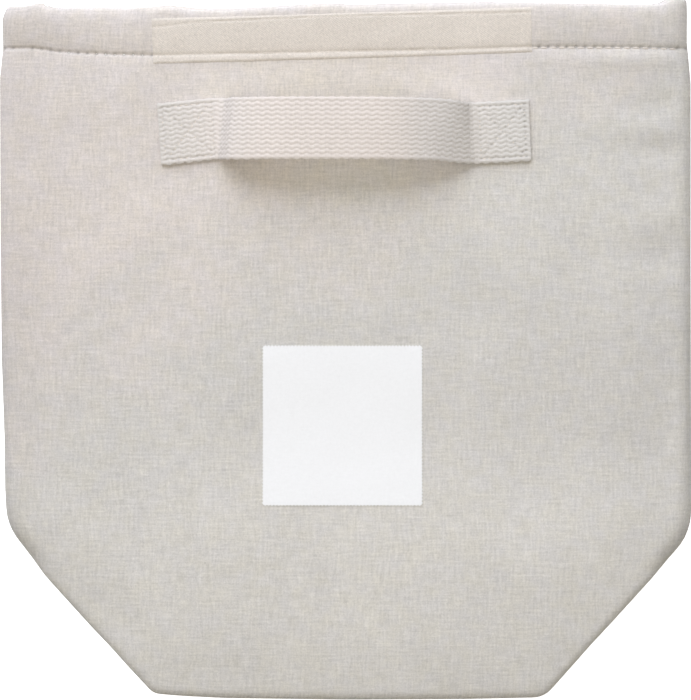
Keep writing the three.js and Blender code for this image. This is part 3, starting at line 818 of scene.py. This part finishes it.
def triangle(turns):
    """A soft zigzag between -1 and 1."""
    return np.arcsin(0.94 * np.sin(2 * math.pi * turns)) / math.asin(0.94)


def box_seams(start, end, wide):
    """The seams of a box with a cross on the webbing between start and end, as pairs of (s, t) places."""
    low, high, edge = start + STITCH_MARGIN, end - STITCH_MARGIN, wide / 2 - STITCH_MARGIN
    corners = [(low, -edge), (high, -edge), (high, edge), (low, edge)]
    return [(corners[a], corners[b]) for a, b in ((0, 1), (1, 2), (2, 3), (3, 0), (0, 2), (1, 3))]


def end_seams(whole):
    """The seams at the left end and those at the right end of a webbing of this whole length."""
    wide = bag().handle.width / MM
    return box_seams(0.0, LEFT_SEWN, wide), box_seams(whole - RIGHT_SEWN, whole, wide)


def needle_holes(seams):
    """(s, t) of every needle hole along some seams of the webbing."""
    holes = set()
    for start, end in seams:
        count = max(1, int(round(math.dist(start, end) / (bag().trim.trim_pitch / MM))))
        for k in range(count + 1):
            holes.add(tuple(round(a + (b - a) * k / count, 3) for a, b in zip(start, end)))
    return sorted(holes)


def webbing_path():
    """Even points (x, height above the front) of the handle's middle line, and the run at each."""
    low, arch = SEWN_HEIGHT, bag().handle.arch / MM
    legs = np.array([[(-92.75, low), (-84, low), (-74, low), (-63, low)],
                     [(-63, low), (-60.4, low), (-59.2, 5), (-57.2, 10)],
                     [(-57.2, 10), (-54.6, 16), (-40, arch), (-8, arch)],
                     [(-8, arch), (-4, arch), (1, arch), (5, arch)],
                     [(5, arch), (26, arch), (46, 14.5), (58.6, 4.9)],
                     [(58.6, 4.9), (61.2, 2.9), (61.9, low), (67, low)],
                     [(67, low), (75, low), (84, low), (91.75, low)]])
    t = np.linspace(0, 1, 60)[:-1, None]
    fine = [(1 - t) ** 3 * a + 3 * t * (1 - t) ** 2 * b + 3 * t * t * (1 - t) * c + t ** 3 * d
            for a, b, c, d in legs]
    fine = np.vstack([*fine, legs[-1][-1:]])
    run = lengths_along(fine[None], 1)[0]
    at = np.linspace(0, run[-1], int(round(run[-1] / (bag().handle.wave / MM / 8))) + 1)
    return np.stack([np.interp(at, run, fine[:, 0]), np.interp(at, run, fine[:, 1])], axis=1), at


def webbing_grid():
    """Places of the handle's outer face, its (s, t) with s from the left end, and depths in needle holes."""
    handle = bag().handle
    path, run = webbing_path()
    x, above = path.T
    wide, wave = handle.width / MM, handle.wave / MM
    rib = wide / handle.ribs
    s, t = np.meshgrid(run, marks(-wide / 2, wide / 2, rib / 8))
    middle, fine = through(HANDLE_MIDDLE, 4), np.arange(-100, 101.0)
    lean = np.interp(x, fine, np.gradient(middle(fine)))
    lean = np.convolve(np.pad(lean, 6, mode="edge"), np.ones(13) / 13, mode="valid")
    rise = np.gradient(path, axis=0)
    rise /= np.linalg.norm(rise, axis=1)[:, None]
    fine = np.arange(-95, 96)
    front = np.interp(x, fine, smoothed(cloth_heights(fine, HANDLE_Y), 15))
    x, y = x - lean * t, middle(x) + t
    raised = eased(above / 6)
    z = cloth_heights(x, y) * (1 - raised) + front * raised + above - 0.3 * raised * (t / wide * 2) ** 2
    sway = handle.sway / MM * triangle(s / wave)
    ridge = np.abs(np.cos(math.pi * (t + sway + (0 if handle.ribs % 2 else rib / 2)) / rib)) ** 0.75
    floats = 0.74 - 0.26 * np.cos(4 * math.pi * s / wave) + 0.22 * rippled(s, t * 1.3, 2.4, 6.1)
    selvedge = eased((wide / 2 - np.abs(t)) / 0.5)
    ends = eased(np.minimum(s, run[-1] - s) / 1.0)
    out = handle.rib_height / MM * ridge * floats * (0.4 + 0.6 * selvedge * ends)
    seams = sum(end_seams(run[-1]), [])
    sewn = bell(distance_to(s, t, seams), 0.7) * (1 - eased((above - SEWN_HEIGHT) / 2))
    holes = np.zeros(out.shape)
    for at_s, at_t in needle_holes(seams):
        deep = 0.8 if at_s > run[-1] - 2 * STITCH_MARGIN else 0.4
        holes = np.maximum(holes, deep * bell(s - at_s, 0.55) * bell(t - at_t, 0.45))
    out = handle.thickness / MM / 2 + out - 0.12 * sewn - 0.12 * (1 - selvedge) - 0.5 * holes
    y = y + 0.6 * sway * eased((np.abs(t) - wide / 2 + 2.5) / 2.5)
    return np.stack([x - rise[:, 1] * out, y, z + rise[:, 0] * out], axis=2), s, t, holes


class COOLERBAG_OT_handle(bpy.types.Operator):
    """Ribbed webbing handle, sewn flat at both ends with an arched middle"""

    bl_idname = "cooler_bag.handle"
    bl_label = "Webbing handle"

    def execute(self, context):
        handle = bag().handle
        places, s, t, holes = webbing_grid()
        whole = s[0, -1]
        strap = finished(woven_mesh(places, np.stack([s * MM, t * MM], axis=2), holes), "handle_webbing",
                         "Cotton webbing", handle.thickness + 0.4 * MM)
        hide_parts("handle_left_end", "handle_left_rise", "handle_grip", "handle_right_rise",
                    "handle_right_end")
        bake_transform(strap)
        look = grid_surface(places, s, t)
        for side, seams in zip(("left", "right"), end_seams(whole)):
            bm = bmesh.new()
            for start, end in seams:
                stitch_line(bm, line_on(look, start, end), bag().trim.trim_pitch / MM, 0.3)
            stitches = finished(bm, f"handle_{side}_stitches", "Thread")
            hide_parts(f"handle_{side}_stitching")
            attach(stitches, "bag")
        return {"FINISHED"}


class COOLERBAG_OT_patch(bpy.types.Operator):
    """Blank white print patch with pinked edges"""

    bl_idname = "cooler_bag.patch"
    bl_label = "Print patch"

    def execute(self, context):
        trim = bag().trim
        side, tooth = trim.patch_side / MM, trim.tooth / MM
        count = int(round(side / tooth)) * 2
        across = np.linspace(-side / 2, side / 2, count + 1)
        s, t = np.meshgrid(across, across)
        cut = np.where(np.arange(count + 1) % 2 == 0, 0.0, tooth * 0.42)

        def pinked(a, cuts):
            """Draws every second point of the border in by the depth of a tooth."""
            return a - np.sign(a) * np.clip(1 - (side / 2 - np.abs(a)) / PINKED_BORDER, 0, 1) * cuts

        x, y = PATCH_X + pinked(s, cut[:, None]), PATCH_Y + pinked(t, cut[None, :])
        z = cloth_heights(x, y) + 0.05 + trim.patch_thickness / MM
        bm = woven_mesh(np.stack([x, y, z], axis=2), np.stack([s * MM, t * MM], axis=2))
        patch = finished(bm, "blank_patch", "White cotton", trim.patch_thickness)
        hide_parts("print_patch")
        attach(patch, "bag")
        return {"FINISHED"}


class COOLERBAG_OT_hem_stitches(bpy.types.Operator):
    """Rows of stitches that hold the hem, front and back"""

    bl_idname = "cooler_bag.hem_stitches"
    bl_label = "Hem stitches"

    def execute(self, context):
        pitch = bag().trim.hem_pitch / MM
        reach = math.floor(HEM_STITCH_REACH / pitch) * pitch
        x = np.arange(-reach, reach + 0.1, pitch / 6)
        tight = tightness(x)
        y = wandered(x, SEAM - 0.2 - 0.35 * tight)
        for side, toward in (("front", 1), ("back", -1)):
            held = under_tape(x, side)
            lift = 0.3 * tight * (1 - held) - 0.05 - 0.25 * np.maximum(held, 1 - tight)
            z = smoothed(cloth_heights(x, y, back=side == "back") + toward * lift, 7)
            bm = bmesh.new()
            stitch_line(bm, [(place, (0, 0, toward)) for place in zip(x, y, z)], pitch, 0.15)
            stitches = finished(bm, f"{side}_hem_stitches", "Thread")
            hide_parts(f"{side}_hem_stitching")
            bend(FOLD_1, stitches)
        return {"FINISHED"}


class NodeSketch:
    """Adds nodes to a tree and joins them by what they are given."""

    def __init__(self, tree):
        self.tree = tree

    def set(self, socket, value):
        if isinstance(value, bpy.types.NodeSocket):
            self.tree.links.new(value, socket)
        else:
            socket.default_value = value

    def add(self, kind, inputs=None, **settings):
        node = self.tree.nodes.new(kind)
        for key, value in settings.items():
            setattr(node, key, value)
        for key, value in (inputs or {}).items():
            self.set(node.inputs[key], value)
        return node

    def group(self, name, **inputs):
        return self.add("ShaderNodeGroup", inputs, node_tree=bpy.data.node_groups[name]).outputs

    def math(self, operation, a, b=0.0):
        return self.add("ShaderNodeMath", {0: a, 1: b}, operation=operation).outputs[0]

    def plus(self, a, b):
        return self.math("ADD", a, b)

    def times(self, a, b):
        return self.math("MULTIPLY", a, b)

    def squared_off(self, value, middle, reach):
        """The square of how many reaches a value lies off a middle."""
        off = self.times(self.plus(value, -middle), 1 / reach)
        return self.times(off, off)

    def vector(self, operation, a, b):
        return self.add("ShaderNodeVectorMath", {0: a, 1: b}, operation=operation).outputs[0]

    def split(self, place):
        return self.add("ShaderNodeSeparateXYZ", {"Vector": place}).outputs

    def joined(self, x, y, z):
        return self.add("ShaderNodeCombineXYZ", {"X": x, "Y": y, "Z": z}).outputs[0]

    def ranged(self, value, low, high, to_low=0.0, to_high=1.0):
        ends = {"Value": value, "From Min": low, "From Max": high, "To Min": to_low, "To Max": to_high}
        return self.add("ShaderNodeMapRange", ends).outputs["Result"]

    def mixed(self, factor, a, b, blend="MIX"):
        node = self.add("ShaderNodeMix", {0: factor, 6: a, 7: b}, data_type="RGBA", blend_type=blend)
        return node.outputs[2]

    def washed(self, coloured, mask, tone, other=(1.0, 1.0, 1.0)):
        """A colour multiplied by a tone where the mask is 1, and by the other one where it is 0."""
        return self.mixed(1.0, coloured, self.mixed(mask, (*other, 1), (*tone, 1)), "MULTIPLY")

    def noise(self, place, scale, detail=2.0, rough=0.5):
        inputs = {"Vector": place, "Scale": scale, "Detail": detail, "Roughness": rough}
        return self.add("ShaderNodeTexNoise", inputs).outputs["Fac"]

    def place(self, source):
        """The weave's UV or the point's place at rest, in mm."""
        if source == "weave":
            raw = self.add("ShaderNodeUVMap", uv_map="weave").outputs["UV"]
        else:
            raw = self.add("ShaderNodeAttribute", attribute_name="rest_place").outputs["Vector"]
        return self.vector("MULTIPLY", raw, (1 / MM, 1 / MM, 1 / MM))


def new_group(name, inputs, outputs):
    """A shader node group that reads a place in mm and named numbers, and puts out named masks."""
    tree = bpy.data.node_groups.new(name, "ShaderNodeTree")
    tree.interface.new_socket(name="Place", in_out="INPUT", socket_type="NodeSocketVector")
    for label, default in inputs.items():
        socket = tree.interface.new_socket(name=label, in_out="INPUT", socket_type="NodeSocketFloat")
        socket.default_value = default
    for label in outputs:
        tree.interface.new_socket(name=label, in_out="OUTPUT", socket_type="NodeSocketFloat")
    sketch = NodeSketch(tree)
    return sketch, sketch.add("NodeGroupInput").outputs, sketch.add("NodeGroupOutput").inputs


def plain_weave_group():
    """Threads over and under each other: how high they stand."""
    sketch, given, out = new_group("Plain weave", {"Pitch": 0.55, "Wobble": 0.15}, ["Height"])
    wander = sketch.add("ShaderNodeTexNoise", {"Vector": given["Place"], "Scale": 0.22, "Detail": 1.0})
    shift = sketch.vector("SUBTRACT", wander.outputs["Color"], (0.5, 0.5, 0.5))
    shift = sketch.add("ShaderNodeVectorMath", {0: shift, "Scale": given["Wobble"]}, operation="SCALE")
    moved = sketch.split(sketch.vector("ADD", given["Place"], shift.outputs[0]))
    turn = sketch.math("DIVIDE", math.pi, given["Pitch"])
    sines = [sketch.math("SINE", sketch.times(moved[axis], turn)) for axis in "XY"]
    over = sketch.math("GREATER_THAN", sketch.times(*sines), 0.0)
    threads = [sketch.times(sketch.math("ABSOLUTE", sine), sketch.ranged(shown, 0, 1, 0.5, 1.0))
               for sine, shown in zip(sines, (over, sketch.math("SUBTRACT", 1.0, over)))]
    sketch.set(out["Height"], sketch.math("MAXIMUM", *threads))


def yarn_group():
    """Thick and thin, light and dark places along the yarns of a cloth."""
    sketch, given, out = new_group("Uneven yarns", {"Across": 1.0, "Along": 0.12}, ["Streaks", "Slubs"])
    found = []
    for x, y in ((given["Across"], given["Along"]), (given["Along"], given["Across"])):
        place = sketch.vector("MULTIPLY", given["Place"], sketch.joined(x, y, 0.0))
        found.append(sketch.noise(place, 1.0, 3.0, 0.62))
    sketch.set(out["Streaks"], sketch.times(sketch.plus(*found), 0.5))
    sketch.set(out["Slubs"], sketch.ranged(sketch.math("MAXIMUM", *found), 0.70, 0.80))


def mottle_group():
    """Cloudy patches, fine fibres and rare flecks."""
    sketch, given, out = new_group("Fibre mottle", {"Cloud size": 40.0, "Fleck size": 2.2},
                                   ["Clouds", "Hues", "Fibres", "Flecks"])
    place = given["Place"]
    scale = sketch.math("DIVIDE", 1.0, given["Cloud size"])
    sketch.set(out["Clouds"], sketch.noise(place, scale, 3.0, 0.6))
    aside = sketch.vector("ADD", place, (310.0, 120.0, 40.0))
    sketch.set(out["Hues"], sketch.noise(aside, 0.11, 2.0, 0.6))
    sketch.set(out["Fibres"], sketch.noise(place, 1.1, 4.0, 0.75))
    scale = sketch.math("DIVIDE", 0.09, given["Fleck size"])
    cells = sketch.add("ShaderNodeTexVoronoi", {"Vector": place, "Scale": scale, "Randomness": 1.0})
    size = sketch.ranged(sketch.noise(place, 0.05, 1.0), 0.4, 0.7, 0.0, 0.03)
    sketch.set(out["Flecks"], sketch.math("LESS_THAN", cells.outputs["Distance"], size))


def shade(base, factor):
    """A lighter or darker shade of a colour."""
    return tuple(min(1.0, part * factor) for part in base) + (1.0,)


def canvas_tints(sketch, coloured, base, yarns, mottle):
    """Slow shifts of the canvas: rosy at the upper left, painted shade across the middle and down the left
    edge, creamy around the handle, partly its own tone and partly painted shade that warms the handle's
    shadow, and patchy all over, with slubs and flecks on top."""
    x, y, _ = sketch.split(sketch.place("rest"))
    corner = sketch.plus(sketch.times(y, 1.5), sketch.times(x, -0.8))
    corner = sketch.plus(corner, sketch.ranged(mottle["Clouds"], 0.3, 0.7, -50.0, 50.0))
    coloured = sketch.washed(coloured, sketch.ranged(corner, 35.0, 175.0), (1.035, 0.988, 0.985))
    # Painted shade across the middle of the bag, stronger towards the right.
    painted_middle_shade = sketch.times(sketch.ranged(sketch.squared_off(y, -12.0, 75), 0.0, 1.0, 1.0, 0.0),
                        sketch.ranged(x, -170.0, 170.0, 0.8, 1.1))
    coloured = sketch.washed(coloured, painted_middle_shade, (0.925, 0.925, 0.93))
    # Painted shade darkening the canvas towards its left edge.
    coloured = sketch.washed(coloured, sketch.ranged(x, -172.0, -135.0, 1.0, 0.0), (0.93, 0.925, 0.925))
    # Creamier near the handle: partly the canvas's own tone, partly painted shade that warms the handle's
    # shadow.
    around = sketch.plus(sketch.squared_off(x, -5.0, 78), sketch.squared_off(y, 116.0, 46))
    coloured = sketch.washed(coloured, sketch.ranged(around, 0.2, 1.0, 1.0, 0.0), (1.0, 0.994, 0.935))
    coloured = sketch.washed(coloured, sketch.ranged(mottle["Hues"], 0.35, 0.65), (0.997, 0.997, 1.018),
                             (1.008, 1.0, 0.975))
    coloured = sketch.mixed(sketch.times(yarns["Slubs"], 0.4), coloured, shade(base, 1.22))
    return sketch.mixed(sketch.times(mottle["Flecks"], 0.35), coloured, shade(base, 0.5))


def webbing_tints(sketch, coloured, base, yarns, mottle):
    """Webbing that greys towards its ends, with painted shade, cooler and a little darker, where it bends down
    to the right.
    """
    x = sketch.split(sketch.place("rest"))["X"]
    # The first tone greys the ends; the second, at x = 45, is painted shade on the slope that bends down away
    # from the light.
    for middle, near, far, inner, outer, tone in ((-12.0, 30.0, 95.0, 0.0, 1.0, (0.895, 0.942, 0.955)),
                                                  (45.0, 6.0, 20.0, 1.0, 0.0, (0.965, 0.977, 0.99))):
        off = sketch.math("ABSOLUTE", sketch.plus(x, -middle))
        coloured = sketch.washed(coloured, sketch.ranged(off, near, far, inner, outer), tone)
    return coloured


def fabric_material(name, base, pitch, contrast, bump, across=1.0, along=0.1, wobble=0.3, rough=0.9,
                    metallic=0.0, sheen=0.25, holes=0.0, tints=None):
    """A woven finish: threads, uneven yarns, cloudy colour and a soft sheen, with painted shade between the
    threads and in needle holes.
    """
    material = bpy.data.materials.new(name)
    material.use_nodes = True
    material.node_tree.nodes.clear()
    material.diffuse_color = (*base, 1.0)
    sketch = NodeSketch(material.node_tree)
    woven = sketch.place("weave")
    weave = sketch.group("Plain weave", Place=woven, Pitch=pitch, Wobble=wobble)
    yarns = sketch.group("Uneven yarns", Place=woven, Across=across, Along=along)
    mottle = sketch.group("Fibre mottle", Place=sketch.place("rest"))
    # Yarn streaks, fibres and clouds are the cloth's own tone; the weave term, darker where the threads dip,
    # is painted shade between the threads.
    light = 1.0
    for mask, high, dark, bright in ((yarns["Streaks"], 0.7, 1.0, 1.0), (mottle["Fibres"], 0.7, 0.8, 0.8),
                                     (weave["Height"], 1.0, 0.4, 0.15), (mottle["Clouds"], 0.7, 0.25, 0.25)):
        light = sketch.plus(light, sketch.ranged(mask, 0.3, high, -contrast * dark, contrast * bright))
    coloured = sketch.mixed(1.0, sketch.joined(light, light, light), (*base, 1.0), "MULTIPLY")
    # Needle holes darkened: painted shade inside the holes.
    if holes:
        hole_shade = sketch.add("ShaderNodeAttribute", attribute_name="hole_shade").outputs["Fac"]
        coloured = sketch.mixed(sketch.times(hole_shade, holes), coloured, shade(base, 0.3))
    if tints:
        coloured = tints(sketch, coloured, base, yarns, mottle)
    height = sketch.plus(sketch.times(weave["Height"], 0.6), yarns["Streaks"])
    relief = sketch.add("ShaderNodeBump", {"Strength": bump, "Distance": 0.25 * MM, "Height": height})
    skin = sketch.add("ShaderNodeBsdfPrincipled", {
        "Base Color": coloured, "Roughness": rough, "Metallic": metallic, "Sheen Weight": sheen,
        "Sheen Roughness": 0.45, "Specular IOR Level": 0.25, "Normal": relief.outputs["Normal"]})
    sketch.add("ShaderNodeOutputMaterial", {"Surface": skin.outputs["BSDF"]})


class COOLERBAG_OT_finishes(bpy.types.Operator):
    """Materials of the cloth, webbing, tapes, thread, patch and the layers inside"""

    bl_idname = "cooler_bag.finishes"
    bl_label = "Finishes"

    def execute(self, context):
        colours, make = bag().colours, fabric_material
        for group in (plain_weave_group, yarn_group, mottle_group):
            group()
        make("Canvas", colours.cloth, 0.62, 0.15, 0.5, across=0.85, along=0.09, holes=0.6, tints=canvas_tints)
        make("Cotton webbing", colours.webbing, 0.42, 0.06, 0.4, across=1.3, along=0.2, wobble=0.2,
             holes=0.7, tints=webbing_tints)
        make("Loop tape", colours.tape, 0.85, 0.135, 0.8, across=1.1, along=0.5, wobble=1.4, sheen=0.5)
        make("Hook tape", colours.tape, 1.4, 0.08, 1.0, across=0.7, along=0.7, wobble=0.1, rough=0.6,
             sheen=0.1)
        make("Thread", colours.thread, 0.3, 0.04, 0.3)
        make("White cotton", colours.patch, 0.5, 0.022, 0.15, across=0.8, along=0.3, sheen=0.1)
        make("Binding tape", colours.binding, 0.5, 0.05, 0.4)
        make("Foam", colours.foam, 1.2, 0.03, 0.3, across=0.9, along=0.9, wobble=1.2, sheen=0.0)
        make("Lining film", colours.lining, 2.0, 0.03, 0.25, across=0.2, along=0.15, wobble=2.0, rough=0.32,
             metallic=0.75, sheen=0.0)
        return {"FINISHED"}


class COOLERBAG_OT_stage(bpy.types.Operator):
    """Pale floor, a big soft light from beyond the rim, a small one overhead and a camera straight above"""

    bl_idname = "cooler_bag.stage"
    bl_label = "Stage"

    def lamp(self, name, aim, distance, size, power, tone):
        """A square soft light at a distance from the middle of the bag, in the direction aim."""
        lamp = bpy.data.lights.new(name, "AREA")
        lamp.shape, lamp.size, lamp.energy, lamp.color = "SQUARE", size, power, tone
        light = bpy.data.objects.new(name, lamp)
        aim = Vector(aim).normalized()
        light.location, light.rotation_euler = aim * distance, aim.to_track_quat("Z", "Y").to_euler()
        light.visible_camera = False
        bpy.context.scene.collection.objects.link(light)

    def room(self, stage):
        """Light of the room, brighter overhead. The camera sees a white backdrop instead of it."""
        world = bpy.data.worlds.new("Studio")
        world.use_nodes = True
        sketch = NodeSketch(world.node_tree)
        sky = world.node_tree.nodes["Background"]
        up = sketch.split(sketch.add("ShaderNodeTexCoord").outputs["Generated"])["Z"]
        sketch.set(sky.inputs["Color"], (*stage.ambient_colour, 1))
        sketch.set(sky.inputs["Strength"], sketch.ranged(up, 0, 1, 0.6 * stage.ambient, stage.ambient))
        backdrop = sketch.add("ShaderNodeBackground", {"Color": (1, 1, 1, 1), "Strength": stage.floor_glow})
        seen = sketch.add("ShaderNodeLightPath").outputs["Is Camera Ray"]
        blended = sketch.add("ShaderNodeMixShader", {0: seen, 1: sky.outputs[0], 2: backdrop.outputs[0]})
        sketch.set(world.node_tree.nodes["World Output"].inputs["Surface"], blended.outputs[0])
        bpy.context.scene.world = world

    def floor(self, glow):
        """A pale floor just under the bag, which shines white for the camera alone."""
        bm = bmesh.new()
        bmesh.ops.create_grid(bm, x_segments=2, y_segments=2, size=2.0,
                              matrix=Matrix.Translation((0, 0, -0.1 * MM)))
        mesh = bpy.data.meshes.new("Floor")
        bm.to_mesh(mesh)
        bm.free()
        floor = bpy.data.objects.new("Floor", mesh)
        bpy.context.scene.collection.objects.link(floor)
        paper = bpy.data.materials.new("Floor")
        paper.use_nodes = True
        sketch, skin = NodeSketch(paper.node_tree), paper.node_tree.nodes["Principled BSDF"].inputs
        sketch.set(skin["Base Color"], (*bag().colours.floor, 1))
        sketch.set(skin["Roughness"], 0.9)
        sketch.set(skin["Emission Color"], (1, 1, 1, 1))
        seen = sketch.add("ShaderNodeLightPath").outputs["Is Camera Ray"]
        sketch.set(skin["Emission Strength"], sketch.times(seen, glow))
        mesh.materials.append(paper)

    def execute(self, context):
        scene, stage = context.scene, bag().stage
        scene.view_settings.view_transform = "Standard"
        camera = bpy.data.cameras.new("Camera")
        camera.sensor_width = 36.0
        camera.lens = camera.sensor_width * stage.distance / stage.view
        eye = bpy.data.objects.new("Camera", camera)
        eye.location = (0, stage.look_y, BASE_HALF * MM + stage.distance)
        scene.collection.objects.link(eye)
        scene.camera = eye
        self.room(stage)
        self.lamp("Key", KEY_AIM, stage.key_distance, stage.key_size, stage.key_power, stage.key_colour)
        self.lamp("Top", TOP_AIM, TOP_DISTANCE, TOP_SIZE, stage.top_power, stage.ambient_colour)
        self.floor(stage.floor_glow)
        return {"FINISHED"}


STEPS = (
    COOLERBAG_OT_stage,
    COOLERBAG_OT_finishes,
    COOLERBAG_OT_cloth,
    COOLERBAG_OT_padding,
    COOLERBAG_OT_bindings,
    COOLERBAG_OT_tapes,
    COOLERBAG_OT_handle,
    COOLERBAG_OT_patch,
    COOLERBAG_OT_hem_stitches,
)


class COOLERBAG_PT_panel(bpy.types.Panel):
    """Lists the settings and the steps that build the bag"""

    bl_label = "Rolltop Cooler Bag"
    bl_idname = "COOLERBAG_PT_panel"
    bl_space_type = "VIEW_3D"
    bl_region_type = "UI"
    bl_category = "Cooler Bag"

    def draw(self, context):
        for title in ("Wall", "Handle", "Trim", "Colours", "Stage"):
            group = getattr(bag(), title.lower())
            box = self.layout.box()
            box.label(text=title)
            for key in group.__annotations__:
                box.prop(group, key)
        for step in STEPS:
            self.layout.operator(step.bl_idname)


CLASSES = (WallSettings, HandleSettings, TrimSettings, ColourSettings, StageSettings, CoolerBagSettings,
           *STEPS, COOLERBAG_PT_panel)


def register():
    for cls in CLASSES:
        bpy.utils.register_class(cls)
    bpy.types.Scene.cooler_bag = PointerProperty(type=CoolerBagSettings)


def unregister():
    del bpy.types.Scene.cooler_bag
    for cls in reversed(CLASSES):
        bpy.utils.unregister_class(cls)


def main():
    """Builds everything in order."""
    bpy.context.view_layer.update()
    register()
    for step in STEPS:
        group, name = step.bl_idname.split(".")
        getattr(getattr(bpy.ops, group), name)()


if __name__ == "__main__":
    main()
